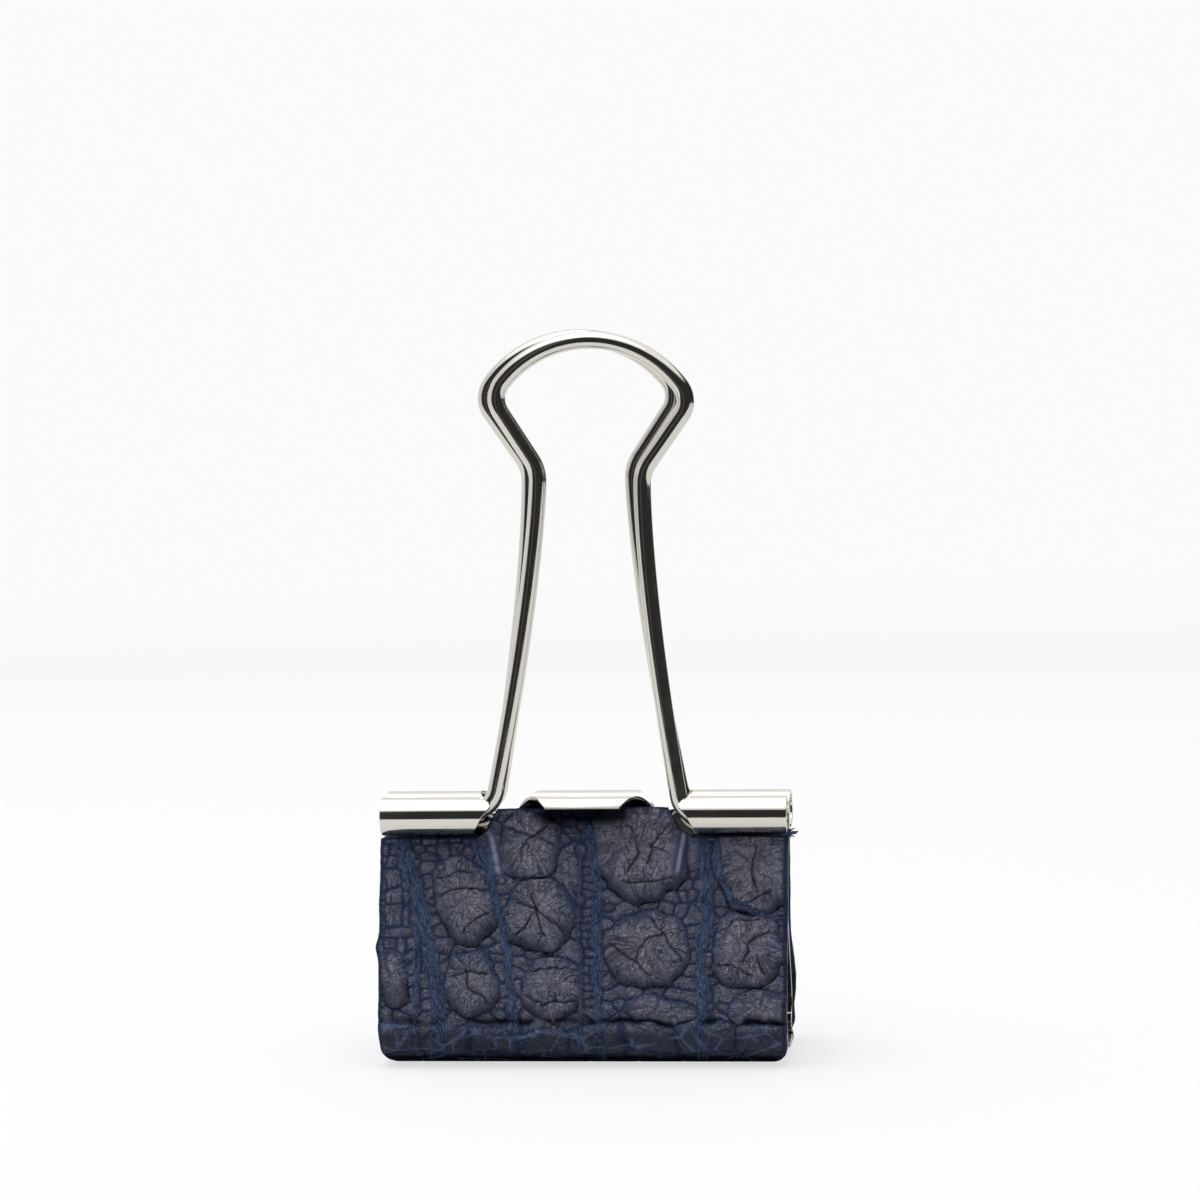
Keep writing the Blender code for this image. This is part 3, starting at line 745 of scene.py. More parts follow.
class Grain:
    """Where the scales, cells, furrows and creases of one half lie."""

    def __init__(self, side, reach):
        self.seed = 11 if side == "front" else 47
        self.reach = reach
        draw = np.random.default_rng(self.seed)
        if side == "front":
            self.scales = [*FRONT_SCALES]
            self.scales += [(x, y, w, h, 0, 2.6) for x, y, w, h in FRONT_CELLS]
            x, first, last, pitch = BEAD_COLUMN
            for y in np.arange(first, last, pitch):
                self.scales.append((x + draw.uniform(-0.08, 0.08), y, 0.36, 0.29, 0, 3.0))
            self.furrows = FRONT_FURROWS
            self.creases = FRONT_CREASES
            low = 16.6
            self.fold = 16.3
        else:
            self.scales, self.furrows = self.grown_layout(draw)
            self.creases = ()
            low = 17.0
            self.fold = 16.5
        self.under_layout(draw, low)
        self.fill(draw)

    def grown_layout(self, draw):
        """Columns of scales between wandering furrows, for the side that is out of sight."""
        seams = [-12.2, -5.9, 0.6, 7.2, 12.9]
        furrows = []
        for seam in seams:
            points = [(seam + draw.uniform(-0.5, 0.5), y) for y in np.linspace(0.0, 19.0, 7)]
            furrows.append((draw.uniform(0.28, 0.5), *points))
        sides = [-16.6, *seams, 17.0]
        scales = []
        for left, right in zip(sides, sides[1:]):
            middle = (left + right) / 2
            half = (right - left) / 2 - 0.65
            y = draw.uniform(-1.0, 0.4)
            while y < 16.5:
                tall = draw.uniform(2.0, 3.0)
                turn = draw.uniform(-16, 16)
                scales.append((middle + draw.uniform(-0.2, 0.2), y + tall, half, tall, turn, 2.6))
                y += 2 * tall + draw.uniform(0.2, 0.6)
        return scales, tuple(furrows)

    def under_layout(self, draw, low):
        """Flat plates round the bend and under the base."""
        for y in np.arange(low + 1.2, self.reach + 2.0, 2.9):
            for x in np.arange(-15.0, 16.5, 4.2):
                place = (x + draw.uniform(-0.8, 0.8), y + draw.uniform(-0.4, 0.4))
                self.scales.append((*place, draw.uniform(1.7, 2.3), draw.uniform(1.15, 1.5),
                                    draw.uniform(-20, 20), 2.6))

    def fill(self, draw):
        """Small cells where no scale lies."""
        for y in np.arange(-1.2, self.fold, 0.95):
            for x in np.arange(-16.2, 16.6, 1.0):
                spot = (x + draw.uniform(-0.3, 0.3), y + draw.uniform(-0.3, 0.3))
                size = draw.uniform(0.28, 0.42)
                if self.gap(*spot, np.array(self.scales).T).min() > 0.12:
                    self.scales.append((*spot, size * 1.15, size, 0, 2.6))

    @staticmethod
    def gap(x, y, scale):
        """How far a spot is outside a scale, in about millimetres."""
        x0, y0, wide, tall, turn, square = scale
        c, s = np.cos(np.radians(turn)), np.sin(np.radians(turn))
        across = ((x - x0) * c + (y - y0) * s) / wide
        down = (-(x - x0) * s + (y - y0) * c) / tall
        ratio = (np.abs(across) ** square + np.abs(down) ** square) ** (1 / square)
        return (ratio - 1) * np.minimum(wide, tall)

    def cells(self, x, y):
        """Distance in from the edge of the scale at each spot, the scale's size and the bearing in it."""
        near = np.full(x.shape, 9.0)
        after = np.full(x.shape, 9.0)
        size = np.zeros(x.shape)
        bearing = np.zeros(x.shape)
        for scale in self.scales:
            reach = 1.2 * max(scale[2:4]) + 1.4
            spots = np.flatnonzero((np.abs(x - scale[0]) < reach) & (np.abs(y - scale[1]) < reach))
            gap = self.gap(x[spots], y[spots], scale)
            if min(scale[2:4]) > LARGE:
                gap = np.where(gap > 0, HOLD * gap, gap)
            closer = gap < near[spots]
            after[spots] = np.where(closer, near[spots], np.minimum(after[spots], gap))
            owned = spots[closer]
            near[owned] = gap[closer]
            size[owned] = min(scale[2:4])
            bearing[owned] = np.arctan2(y[owned] - scale[1], x[owned] - scale[0])
        return np.clip((after - near) / 2, 0.0, None), size, bearing

    def bands(self, x, y):
        """Place across and along the nearest fibre furrow at each spot, and the furrow's share."""
        band = np.zeros(x.shape)
        across = np.zeros(x.shape)
        along = np.zeros(x.shape)
        for index, (half, *points) in enumerate(self.furrows):
            gap, signed, run = line_gap(x, y, points)
            inside = step(gap, half * 1.35, half * 0.7)
            stronger = inside > band
            across = np.where(stronger, signed + 3.0 * index, across)
            along = np.where(stronger, run, along)
            band = np.maximum(band, inside)
        return across, along, band

    def relief(self, x, y):
        """Height below the face in millimetres, and the shares and places that the colours use."""
        seed = self.seed
        wx = x + WARP * (smooth_noise(x / WARP_PITCH, y / WARP_PITCH, seed + 1) - 0.5)
        wy = y + WARP * (smooth_noise(x / WARP_PITCH, y / WARP_PITCH, seed + 2) - 0.5)
        edge, size, bearing = self.cells(wx, wy)
        across, along, band = self.bands(wx, wy)
        large = step(size, 0.6, LARGE)
        lower = step(np.sin(bearing), -0.15, 0.55) * large
        under = step(y, 16.2, 17.6)

        depth = 0.56 - 0.42 * under
        lift = (0.18 + 0.20 * large) * (1 - under) + 0.11 * under
        rise = 1 - np.exp(-(edge / (0.12 + 0.22 * large - 0.06 * lower)) ** 1.5)
        crown = large * np.sqrt(np.clip(edge / 2.4, 0, 1)) * (0.26 - 0.18 * under)

        lean = across + 0.25 * (smooth_noise(across / 0.5, along / 0.9, seed + 3) - 0.5)
        strand = smooth_noise(lean / 0.16 + along * 0.35, along / 0.75, seed + 4)
        cross = smooth_noise(lean / 0.16 - along * 0.5, along / 0.6, seed + 5)
        fibres = np.maximum(strand, cross)

        tops = rise * (1 - band)
        ray_x = STAR * np.cos(bearing) + 9.0 * size
        ray_y = STAR * np.sin(bearing) + 0.5 * edge
        spoke = smooth_noise(ray_x, ray_y, seed + 9)
        spokes = np.clip(1 - np.abs(spoke - 0.5) / 0.10, 0, 1) * large * step(edge, 0.05, 0.3)
        level = smooth_noise(x / 2.2, y / 0.28, seed + 10)
        rungs = np.clip(1 - np.abs(level - 0.5) / 0.12, 0, 1) * (1 - large)
        coarse = net_gap(wx / 0.85, wy / 0.85, seed + 6) * 0.85
        patch = step(smooth_noise(x / 1.6, y / 1.6, seed + 8), 0.35, 0.65)
        cracks = 0.5 * np.exp(-(coarse / 0.09) ** 2) * large * step(edge, 0.25, 0.8) * patch
        deep = np.zeros(x.shape)
        sx = wx + 0.20 * (smooth_noise(x / 0.4, y / 0.4, seed + 13) - 0.5)
        sy = wy + 0.20 * (smooth_noise(x / 0.4, y / 0.4, seed + 14) - 0.5)
        for points in self.creases:
            gap, _, _ = line_gap(sx, sy, points)
            deep = np.maximum(deep, np.exp(-(gap / CREASE_HALF) ** 2))

        calm = 1 - 0.85 * under
        fold = self.fold + 0.5 * (smooth_noise(x / 2.4, np.zeros(x.shape), seed + 15) - 0.5)
        broken = step(smooth_noise(x / 1.1, y / 4, seed + 11), 0.15, 0.60)
        hollow = np.exp(-((wy - fold) / 0.42) ** 2) * broken
        web = np.maximum(np.exp(-(net_gap(wx / 3.6, wy / 2.0, seed + 12) * 2.4 / 0.085) ** 2),
                         0.8 * np.exp(-(net_gap(wx / 2.1, wy / 3.4, seed + 16) * 2.4 / 0.06) ** 2))
        web = web * step(y, 15.9, 16.8) * step(smooth_noise(x / 1.3, y / 1.3, seed + 17), 0.20, 0.50)
        height = (lift * rise + crown - depth) * (1 - band) + band * (0.12 * fibres - 0.34 + 0.20 * under)
        cuts = 0.09 * cracks + 0.06 * spokes + 0.05 * rungs * tops + 0.15 * deep * tops
        height = np.minimum(height - calm * cuts - 0.16 * hollow, 0.0) * (1 - 0.7 * step(y, 18.6, 20.2))
        worn = 0.70 - 0.14 * large + 0.44 * large * step(edge, 0.1, 1.5)
        rub = step(rise, 0.12 - 0.12 * lower, 0.80 - 0.50 * lower) * worn
        # Less grey round the bend and under the base: painted shade, together with the shade term below
        rub = rub * (1 - band) * (1 - 0.45 * under) * (1 - web)
        # Dark line round each scale's edge; along the lower edges of the large scales it is wider and darker,
        # a painted shadow under the overhang
        furrow_line_and_shadow = np.exp(-(edge / (0.07 + 0.13 * lower)) ** 2) * (1 - band) * (0.45 + 0.52 * lower)
        # Painted shade over the lower part of each large scale, the darker side of a dome lit from above
        rolled_edge_shade = 0.72 * np.exp(-(edge / 0.8) ** 2) * lower * (1 - band)
        strands = band * step(fibres, 0.62, 0.40)
        # Painted shade in the fold hollow and round the bend and under the base (apart from the web lines),
        # nearly black at the bottom edge, and a painted shadow under the lip
        shade = np.maximum.reduce((0.95 * hollow, 0.62 * under * (1 - web), 0.98 * step(y, 18.3, 19.9),
                                   0.95 * step(y, 1.3, 0.1) * step(np.abs(x), 4.4, 3.0)))
        # Dark share of the colour: cracks, spokes, rungs and deep creases are painted shade with darker dye,
        # the gaps between the furrow fibres are painted shade, and the scale edges and the shade above add
        # painted shade and shadow
        crease_and_shade = np.maximum.reduce((CRACK_DARK * cracks, SPOKE_DARK * spokes, RUNG_DARK * rungs,
                                    DEEP_DARK * deep * tops,
                                    furrow_line_and_shadow * calm, rolled_edge_shade * calm, 0.6 * strands * calm, shade))
        shares = {
            "rub": np.clip(rub, 0, 1),
            "crease_and_shade": np.clip(crease_and_shade, 0, 1),
            "strand": np.stack((across, along, band), -1),
            "web": web,
            "polar": np.stack((ray_x, ray_y, 4.0 * (1 - large)), -1),
        }
        return height, shares


# Half width of the tab at drops down from the lip's root, in millimetres
TAB_DROPS = (-0.75, -0.43, 0.05, 0.50, 1.10, 1.62)
TAB_WIDTHS = (6.55, 6.85, 7.20, 7.45, 7.75, 8.6)
TAB_SHIFT = -0.2
ROUNDING = ((0.5, 0.13), (0.87, 0.5), (1.0, 1.0))
TAIL = 0.6


# Drops at which the rear leather's right edge is listed, and what it lacks of the full width
REAR_DROPS = (0.0, 1.8, 4.3, 7.0, 9.7, 11.5, 13.3, 14.8, 16.2, 17.6, 19.0)
REAR_LACK = (0.0, 0.11, 0.19, 0.35, 0.42, 0.39, 0.25, 0.20, 0.28, 0.43, 0.30)


def edge_line(drop, side, sign):
    """Half width of the panel down one end: a wandering cut that draws in round the bend."""
    y = drop / MM
    stray = 0.12 * (smooth_noise(y / 1.7, np.full(y.shape, sign * 3.0 + 8.0), 5) - 0.5)
    if side == "front" and sign < 0:
        stray = stray + 0.28 * np.clip(1 - y / 17.0, 0.0, 1.0) + 0.26 * np.exp(-((y - 10.3) / 0.8) ** 2)
    if side == "rear" and sign < 0:
        stray = stray - np.interp(y, REAR_DROPS, REAR_LACK)
    return strip_sizes().width / 2 + (stray - 1.0 * step(y, 18.9, 22.5)) * MM


def wire_gap(points, wire, reach):
    """Distance from each point to a wire's middle line, up to a reach."""
    start = wire[:-1]
    run = wire[1:] - start
    size = (run ** 2).sum(1)
    low, high = wire.min(0) - reach, wire.max(0) + reach
    near = np.flatnonzero(((points > low) & (points < high)).all(1))
    at = points[near]
    t = np.clip(((at[:, None] - start[None]) * run[None]).sum(2) / size, 0.0, 1.0)
    apart = np.sqrt(((at[:, None] - start[None] - t[..., None] * run[None]) ** 2).sum(2)).min(1)
    gap = np.full(len(points), reach)
    gap[near] = np.minimum(apart, reach)
    return gap


def press_in(points, normals, offsets, wire, room):
    """Sink the leather where a wire lies on it: new offsets of the points."""
    sunk = offsets.copy()
    for _ in range(4):
        at = points + normals * (sunk - offsets)[:, None]
        sunk -= room - wire_gap(at, wire, room)
    return sunk


PRESS_REACH = 0.0055
RIM_SHADE = 0.6
# Streak that the folded handle has rubbed: shift from the wire, half width, and drops where it fades
STREAK_SHIFT = 0.40
STREAK_HALF = 0.20
STREAK_FADE = (5.4, 4.2)


class LeatherHalf:
    """Mesh of one half of the wrap: grained outer face, rounded rim and plain inner face."""

    def __init__(self, side, section):
        self.side = side
        self.section = section
        self.sizes = leather_sizes()
        self.inner = strip_sizes().sheet / 2 + self.sizes.film
        self.thick = self.sizes.face - self.inner
        self.rise = self.sizes.front_rise if side == "front" else self.sizes.rear_rise
        self.lay_out()

    def flat_size(self):
        """Width, length and area that the half was cut to, along its outer face."""
        width = strip_sizes().width
        reach = self.section.face_length(self.sizes.face)
        tab = 2 * float(np.mean(TAB_WIDTHS)) * MM * (self.sizes.shelf + self.rise)
        return width, reach + self.rise, width * (reach - self.sizes.shelf) + tab

    def lay_out(self):
        """Flat places of the outer face: rows of the panel, then rows of the tab."""
        sizes = self.sizes
        side_round, top_round, pitch = sizes.side_round, sizes.top_round, sizes.pitch
        half = strip_sizes().width / 2 - side_round
        foot = TAB_WIDTHS[-1] * MM - top_round
        outer = np.linspace(-half, -foot, round((half - foot) / pitch) + 1)
        middle = np.linspace(-foot, foot, round(2 * foot / pitch) + 1)
        columns = np.concatenate((outer[:-1], middle, -outer[::-1][1:]))
        self.wide = len(columns)
        self.first_tab = len(outer) - 1
        self.tab_wide = len(middle)
        top = sizes.shelf + top_round
        bottom = self.section.face_length(sizes.face)
        panel = np.linspace(bottom, top, round((bottom - top) / pitch) + 1)
        tab_top = top_round - self.rise
        tab = np.linspace(top, tab_top, round((top - tab_top) / pitch) + 1)[1:]
        self.high = len(panel)
        self.tab_high = len(tab)
        left = (edge_line(panel, self.side, -1) - side_round) / half
        right = (edge_line(panel, self.side, 1) - side_round) / half
        x, drop = np.meshgrid(columns, panel)
        spread = np.where(x < 0, left[:, None], right[:, None])
        outwards = np.clip((np.abs(x) - foot) / (half - foot), 0.0, 1.0)
        lower = np.clip((drop - top) / (2 * MM), 0.0, 1.0)
        x = x * (1 + (spread - 1) * np.maximum(outwards, lower))
        widths = (np.interp(tab / MM, TAB_DROPS, TAB_WIDTHS) * MM - top_round) / foot
        climb = np.clip((top - tab) / (top - tab_top), 0.0, 1.0)
        tab_x = middle[None] * widths[:, None] + TAB_SHIFT * MM * step(climb, 0.0, 0.6)[:, None]
        tab_drop = np.repeat(tab[:, None], len(middle), 1)
        self.x = np.concatenate((x.ravel(), tab_x.ravel()))
        self.drop = np.concatenate((drop.ravel(), tab_drop.ravel()))

    def panel(self, row, column):
        return row * self.wide + column

    def tab(self, row, column):
        """Vertex of the tab; its row 0 is the top row of the panel."""
        if row == 0:
            return self.panel(self.high - 1, self.first_tab + column)
        return self.high * self.wide + (row - 1) * self.tab_wide + column

    def border(self):
        """Edge of the outer face from the lower left corner: vertex, way out along x and drop, kind."""
        last, end = self.high - 1, self.wide - 1
        tab_last, peak = self.tab_wide - 1, self.tab_high
        far = self.first_tab + tab_last
        loop = [(self.panel(row, 0), -1, 0, "side") for row in range(last)]
        loop.append((self.panel(last, 0), -1, -1, "side"))
        loop += [(self.panel(last, column), 0, -1, "shelf") for column in range(1, self.first_tab)]
        loop.append((self.tab(0, 0), -1, -1, "shelf"))
        loop += [(self.tab(row, 0), -1, 0, "tab") for row in range(1, peak)]
        loop.append((self.tab(peak, 0), -1, -1, "peak"))
        loop += [(self.tab(peak, column), 0, -1, "peak") for column in range(1, tab_last)]
        loop.append((self.tab(peak, tab_last), 1, -1, "peak"))
        loop += [(self.tab(row, tab_last), 1, 0, "tab") for row in range(peak - 1, 0, -1)]
        loop.append((self.tab(0, tab_last), 1, -1, "shelf"))
        loop += [(self.panel(last, column), 0, -1, "shelf") for column in range(far + 1, end)]
        loop.append((self.panel(last, end), 1, -1, "side"))
        loop += [(self.panel(row, end), 1, 0, "side") for row in range(last - 1, -1, -1)]
        seam = [(self.panel(0, column), 0, 0, "seam") for column in range(end - 1, 0, -1)]
        return loop, seam

    def rim_steps(self, kinds):
        """Steps round the cut edge: out along x, out along the drop, and depth, for each vertex."""
        side, top = self.sizes.side_round, self.sizes.top_round
        at_side = kinds == "side"
        across = np.where(at_side, side, top)
        steps = [(out * across, np.full(len(kinds), out * top), deep * across) for out, deep in ROUNDING]
        tucked = np.select((kinds == "shelf", kinds == "peak"), (0.15 * MM, -0.12 * MM), 0.0)
        steps.append((across, top + tucked, np.full(len(kinds), TAIL * self.thick)))
        tucked = np.select((kinds == "shelf", kinds == "peak"), (0.35 * MM, -0.75 * MM), 0.0)
        steps.append((0.95 * across, top + tucked, np.full(len(kinds), self.thick)))
        return steps

    def place(self, x, drop, offset):
        point, normal = self.section.at(drop, offset, self.sizes.face)
        points = np.column_stack((x, point))
        normals = np.column_stack((np.zeros(len(x)), normal))
        return points, normals

    def outer_face(self):
        """Grained face with the wire's dents: its offsets and what the colours use."""
        grain = Grain(self.side, self.section.face_length(self.sizes.face) / MM)
        height, shares = grain.relief(self.x / MM, self.drop / MM)
        shares["pressed"] = np.zeros(len(self.x))
        offset = self.sizes.face + height * MM
        path = handle_path()
        room = handle_sizes().wire / 2 + self.sizes.press_room
        for sign in (-1, 1):
            leg = path[(path[:, 0] * sign > 0) & (path[:, 1] < PRESS_REACH)]
            wire = np.column_stack((leg[:, 0], np.zeros(len(leg)), leg[:, 1]))
            for fold in (0.0, FOLD):
                seat = np.array(handle_seat(self.side, fold))
                laid = wire @ seat[:3, :3].T + seat[:3, 3]
                points, normals = self.place(self.x, self.drop, offset)
                sunk = press_in(points, normals, offset, laid, room)
                pressed = step((offset - sunk) / MM, 0.02, 0.15)
                offset = sunk
                dent = 0.6 * pressed
                if fold:
                    below = (self.section.head - laid[:, 1:]) @ self.section.up
                    beside = np.column_stack((laid[:, 0], below)) / MM
                    gap, _, _ = line_gap(self.x / MM, self.drop / MM, beside + (sign * STREAK_SHIFT, 0.0))
                    fade = step(self.drop / MM, *STREAK_FADE)
                    streak = np.exp(-(gap / STREAK_HALF) ** 2) * fade
                    dent = np.exp(-(gap / (2.6 * STREAK_HALF)) ** 2) * fade
                    shares["pressed"] = np.maximum(shares["pressed"], dent)
                    shares["rub"] = np.maximum(shares["rub"] * (1 - dent), streak)
                    dent = dent * (1 - streak)
                shares["crease_and_shade"] = np.maximum(shares["crease_and_shade"] * (1 - shares["pressed"]), 0.75 * dent)
        return np.maximum(offset, self.inner + 0.15 * self.thick), shares

    def build(self):
        offset, shares = self.outer_face()
        points, _ = self.place(self.x, self.drop, offset)
        loop, seam = self.border()
        ring = np.array([item[0] for item in loop + seam])
        way_x = np.array([item[1] for item in loop + seam], float)
        way_drop = np.array([item[2] for item in loop + seam], float)
        kinds = np.array([item[3] for item in loop + seam])
        relief = offset[ring] - self.sizes.face
        layers = [points]
        rims = [ring]
        total = len(points)
        steps = self.rim_steps(kinds)
        for level, (out_x, out_drop, deep) in enumerate(steps, 1):
            x = self.x[ring] + way_x * out_x
            drop = self.drop[ring] + way_drop * out_drop
            height = self.sizes.face + relief * (1 - level / len(steps)) - deep
            height = np.minimum(height, offset[ring] - deep / 2)
            layer, _ = self.place(x, drop, np.maximum(height, self.inner))
            layers.append(layer)
            rims.append(np.arange(total, total + len(ring)))
            total += len(ring)
        faces = self.outer_faces() + self.rim_faces(rims) + self.inner_faces(rims[-1], len(loop))
        extra = total - len(points)
        count = extra // len(ring)
        flat = np.column_stack((self.x / MM, self.drop / MM, np.zeros(len(self.x))))
        for name, values in shares.items():
            shares[name] = np.concatenate((values, np.zeros((extra, *values.shape[1:]))))
        shares["crease_and_shade"][-extra:] = RIM_SHADE
        shares["flat"] = np.concatenate((flat, np.tile(flat[ring], (count, 1))))
        return self.to_mesh(np.concatenate(layers), faces, shares)

    def outer_faces(self):
        faces = []
        for row in range(self.high - 1):
            for column in range(self.wide - 1):
                faces.append((self.panel(row, column), self.panel(row, column + 1),
                              self.panel(row + 1, column + 1), self.panel(row + 1, column)))
        for row in range(self.tab_high):
            for column in range(self.tab_wide - 1):
                faces.append((self.tab(row, column), self.tab(row, column + 1),
                              self.tab(row + 1, column + 1), self.tab(row + 1, column)))
        return faces

    @staticmethod
    def rim_faces(rims):
        faces = []
        for upper, lower in zip(rims, rims[1:]):
            count = len(upper)
            for i in range(count):
                j = (i + 1) % count
                faces.append((int(upper[i]), int(upper[j]), int(lower[j]), int(lower[i])))
        return faces

    def inner_faces(self, ring, length):
        """Strips from end to end up to the shelf, then one flat face with the tab."""
        ring = [int(vert) for vert in ring]
        last = self.high - 1
        faces = [tuple([ring[0], ring[1], ring[length - 2], ring[length - 1], *ring[length:]])]
        for row in range(1, last - 1):
            faces.append((ring[row], ring[row + 1], ring[length - 2 - row], ring[length - 1 - row]))
        faces.append(tuple(ring[last - 1:length - last + 1]))
        return faces

    def to_mesh(self, points, faces, shares):
        mesh = bpy.data.meshes.new(f"{self.side}_wrap")
        mesh.from_pydata(points.tolist(), [], faces)
        for name, values in shares.items():
            if values.ndim == 1:
                mesh.attributes.new(name, "FLOAT", "POINT").data.foreach_set("value", values)
            else:
                mesh.attributes.new(name, "FLOAT_VECTOR", "POINT").data.foreach_set("vector", values.ravel())
        bm = bmesh.new()
        bm.from_mesh(mesh)
        bmesh.ops.recalc_face_normals(bm, faces=bm.faces)
        bm.to_mesh(mesh)
        bm.free()
        mesh.shade_smooth()
        mesh.transform(TURNS[self.side])
        return mesh


def make_leather_half(side, section, material):
    half = LeatherHalf(side, section)
    item = link(f"{side}_leather_wrap", half.build(), material)
    bend_with_jaw(item)
    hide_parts("spine_leather", f"{side}_leather")
    width, reach, area = half.flat_size()


# Loose fibres at the front right corner of the cut edge: rise in degrees and length in millimetres
FRAY = ((42, 0.55), (26, 0.85), (9, 1.10), (3, 1.00), (-7, 0.92), (-20, 0.82), (-36, 0.60))
FRAY_ROOT = (15.78, 1.42)
FRAY_THICK = 0.00014


def make_fray(section, material):
    face = leather_sizes().face
    x, drop = FRAY_ROOT
    place, _ = section.at(np.array((drop * MM,)), np.array((face - 0.2 * MM,)), face)
    root = Vector((x * MM, *place[0]))
    bm = bmesh.new()
    for index, (rise, size) in enumerate(FRAY):
        way = Vector((cos(radians(rise)), 0.25 * sin(2.0 * index), sin(radians(rise)))).normalized()
        turn = way.to_track_quat("Z", "Y").to_matrix().to_4x4()
        spot = Matrix.Translation(root + way * (size * MM / 2)) @ turn
        bmesh.ops.create_cone(bm, cap_ends=True, segments=6, radius1=FRAY_THICK, radius2=FRAY_THICK / 5,
                              depth=size * MM, matrix=spot)
    mesh = bpy.data.meshes.new("front_leather_fray")
    bm.to_mesh(mesh)
    bm.free()
    item = link("front_leather_fray", mesh, material)
    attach(item, "front_jaw")
    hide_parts("front_leather")


TABLE_FRONT = -0.11
TABLE_BACK = 0.25
TABLE_HALF = 0.40
# Share of the table's light that the picture takes as even, and how bright that even light is
EVEN = 0.65
EVEN_LIGHT = 0.865


def make_table(sizes):
    """White table: lit for the clip, and glowing a little in the picture and in reflections."""
    mesh = bpy.data.meshes.new("table")
    bm = bmesh.new()
    corners = ((-TABLE_HALF, TABLE_FRONT), (TABLE_HALF, TABLE_FRONT), (TABLE_HALF, TABLE_BACK),
               (-TABLE_HALF, TABLE_BACK))
    bm.faces.new([bm.verts.new((x, y, -0.00002)) for x, y in corners])
    bm.to_mesh(mesh)
    bm.free()
    material, nodes = new_material("table_white")
    rays = nodes.add("ShaderNodeLightPath").outputs
    place = nodes.add("ShaderNodeTexCoord").outputs["Object"]
    depth = nodes.add("ShaderNodeSeparateXYZ", {0: place}).outputs["Y"]
    seen = nodes.math("MAXIMUM", rays["Is Camera Ray"], rays["Is Glossy Ray"])
    seen = nodes.math("MAXIMUM", seen, rays["Is Transmission Ray"])
    fade = nodes.ramp(depth, TABLE_BACK - 0.10, TABLE_BACK, sizes.table_glow, sizes.table_glow - 0.012)
    even = nodes.math("MULTIPLY", rays["Is Camera Ray"], EVEN)
    black = (0.0, 0.0, 0.0, 1.0)
    lit = nodes.add("ShaderNodeBsdfDiffuse", {"Color": nodes.mix(even, rgba(sizes.table), black)})
    added = nodes.math("MULTIPLY_ADD", even, EVEN_LIGHT, nodes.math("MULTIPLY", seen, fade))
    glow = nodes.add("ShaderNodeEmission", {"Strength": added})
    both = nodes.add("ShaderNodeAddShader", {0: lit.outputs[0], 1: glow.outputs[0]})
    nodes.add("ShaderNodeOutputMaterial", {"Surface": both.outputs[0]})
    table = link("table", mesh, material)


# Bearings from the front, in radians, over which the unlit end of the room begins and ends
DARK_LEFT = (-1.30, -1.00)
DARK_RIGHT = (2.75, 2.45)


def make_world(sizes):
    """White room with a bright ceiling and an unlit end to the front; the picture shows plain white."""
    world = bpy.data.worlds.new("studio")
    world.use_nodes = True
    bpy.context.scene.world = world
    nodes = NodeTree(world.node_tree)
    rays = nodes.add("ShaderNodeLightPath").outputs
    way = nodes.add("ShaderNodeTexCoord").outputs["Generated"]
    axes = nodes.add("ShaderNodeSeparateXYZ", {0: way}).outputs
    rise = axes["Z"]
    bearing = nodes.math("ARCTAN2", axes["X"], nodes.math("MULTIPLY", axes["Y"], -1.0))
    ahead = nodes.math("MULTIPLY", nodes.ramp(bearing, *DARK_LEFT), nodes.ramp(bearing, *DARK_RIGHT))
    doorway = nodes.ramp(nodes.math("ABSOLUTE", nodes.math("ADD", bearing, 0.30)), 0.12, 0.02)
    unlit = nodes.math("MULTIPLY_ADD", doorway, sizes.doorway, sizes.dark_end)
    walls = nodes.add("ShaderNodeMix", {0: ahead, 2: sizes.backdrop, 3: unlit}, data_type="FLOAT").outputs[0]
    overhead = nodes.ramp(rise, 0.56, 0.68)
    room = nodes.add("ShaderNodeMix", {0: overhead, 2: walls, 3: sizes.ceiling}, data_type="FLOAT").outputs[0]
    haze = nodes.ramp(rise, -0.119, -0.098, 0.935, sizes.backdrop)
    around = nodes.add("ShaderNodeBackground", {"Strength": room})
    picture = nodes.add("ShaderNodeBackground", {"Strength": haze})
    for made in (around, picture):
        made.inputs["Color"].default_value = (1.0, 1.0, 1.0, 1.0)
    both = nodes.add("ShaderNodeMixShader", {0: rays["Is Camera Ray"], 1: around.outputs[0],
                                             2: picture.outputs[0]})
    nodes.add("ShaderNodeOutputWorld", {"Surface": both.outputs[0]})


def make_softbox(sizes):
    light = bpy.data.lights.new("softbox", "AREA")
    light.shape = "RECTANGLE"
    light.size = 0.5
    light.size_y = 0.4
    light.energy = sizes.softbox
    lamp = bpy.data.objects.new("softbox", light)
    lamp.location = (-0.08, -0.05, 0.45)
    aim = Vector((0.0, 0.0, 0.02)) - lamp.location
    lamp.rotation_euler = aim.to_track_quat("-Z", "Y").to_euler()
    bpy.context.scene.collection.objects.link(lamp)


def make_camera(sizes):
    camera = bpy.data.objects.new("camera", bpy.data.cameras.new("camera"))
    camera.data.lens = sizes.lens
    camera.data.sensor_width = 36.0
    camera.data.clip_start = 0.01
    camera.data.clip_end = 10.0
    around, above = sizes.azimuth, sizes.elevation
    back = Vector((sin(around) * cos(above), -cos(around) * cos(above), sin(above)))
    level = Vector((cos(around), sin(around), 0.0))
    up = back.cross(level)
    right = level * cos(sizes.roll) + up * sin(sizes.roll)
    top = up * cos(sizes.roll) - level * sin(sizes.roll)
    turn = Matrix((right, top, back)).transposed().to_4x4()
    camera.matrix_world = Matrix.Translation(Vector(sizes.target) + back * sizes.distance) @ turn
    bpy.context.scene.collection.objects.link(camera)
    bpy.context.scene.camera = camera


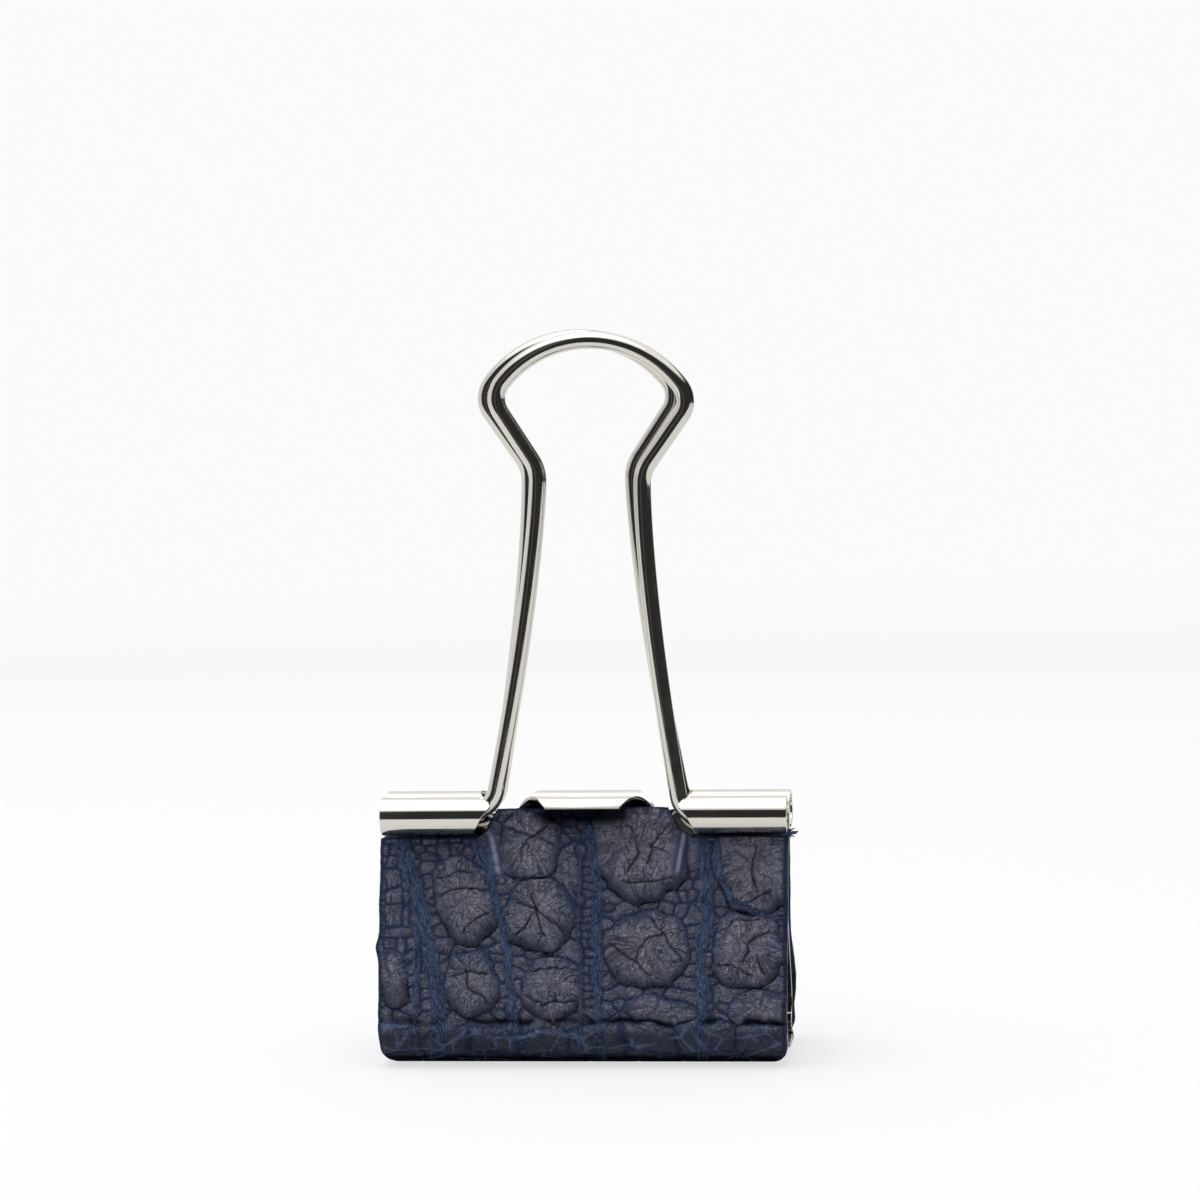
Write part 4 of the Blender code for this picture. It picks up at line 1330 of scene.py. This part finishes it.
class CLIP_OT_strip(bpy.types.Operator):
    """Roll the nickel-plated spring strip, as two halves"""

    bl_idname = "clip.strip"
    bl_label = "Spring Strip"

    def execute(self, context):
        material = nickel_finish("nickel_strip", strip_sizes().tint, (0.25, 1.0, 1.0))
        section = Section()
        for side in TURNS:
            make_strip_half(side, section, material)
        return {"FINISHED"}


class CLIP_OT_handles(bpy.types.Operator):
    """Bend the two wire handles and seat their feet in the tubes"""

    bl_idname = "clip.handles"
    bl_label = "Wire Handles"

    def execute(self, context):
        material = nickel_finish("nickel_wire", handle_sizes().tint, (1.0, 1.0, 0.3))
        for side in TURNS:
            make_handle(side, material)
        return {"FINISHED"}


class CLIP_OT_leather(bpy.types.Operator):
    """Wrap the strip in scale-grain leather with the dents of the folded legs"""

    bl_idname = "clip.leather"
    bl_label = "Leather Wrap"

    def execute(self, context):
        material = leather_finish("navy_leather")
        section = Section()
        for side in TURNS:
            make_leather_half(side, section, material)
        make_fray(section, material)
        return {"FINISHED"}


class CLIP_OT_studio(bpy.types.Operator):
    """Set the white table, the light and the camera"""

    bl_idname = "clip.studio"
    bl_label = "Studio"

    def execute(self, context):
        sizes = studio_sizes()
        make_table(sizes)
        make_world(sizes)
        make_softbox(sizes)
        make_camera(sizes)
        context.scene.view_settings.view_transform = "Standard"
        return {"FINISHED"}


OPERATORS = (CLIP_OT_strip, CLIP_OT_handles, CLIP_OT_leather, CLIP_OT_studio)
GROUPS = {"clip_strip": ClipStrip, "clip_handles": ClipHandles, "clip_leather": ClipLeather,
          "clip_studio": ClipStudio}


class CLIP_PT_panel(bpy.types.Panel):
    """Sizes, colours and steps of the binder clip"""

    bl_label = "Binder Clip"
    bl_idname = "CLIP_PT_panel"
    bl_space_type = "VIEW_3D"
    bl_region_type = "UI"
    bl_category = "Binder Clip"

    def draw(self, context):
        for operator, (name, group) in zip(OPERATORS, GROUPS.items()):
            box = self.layout.box()
            box.operator(operator.bl_idname)
            for key in group.__annotations__:
                box.prop(getattr(context.scene, name), key)


CLASSES = (*GROUPS.values(), *OPERATORS, CLIP_PT_panel)


def register():
    for item in CLASSES:
        bpy.utils.register_class(item)
    for name, group in GROUPS.items():
        setattr(bpy.types.Scene, name, PointerProperty(type=group))


def unregister():
    for name in GROUPS:
        delattr(bpy.types.Scene, name)
    for item in reversed(CLASSES):
        bpy.utils.unregister_class(item)


def main():
    register()
    bpy.ops.clip.studio()
    bpy.ops.clip.strip()
    bpy.ops.clip.handles()
    bpy.ops.clip.leather()


if __name__ == "__main__":
    main()
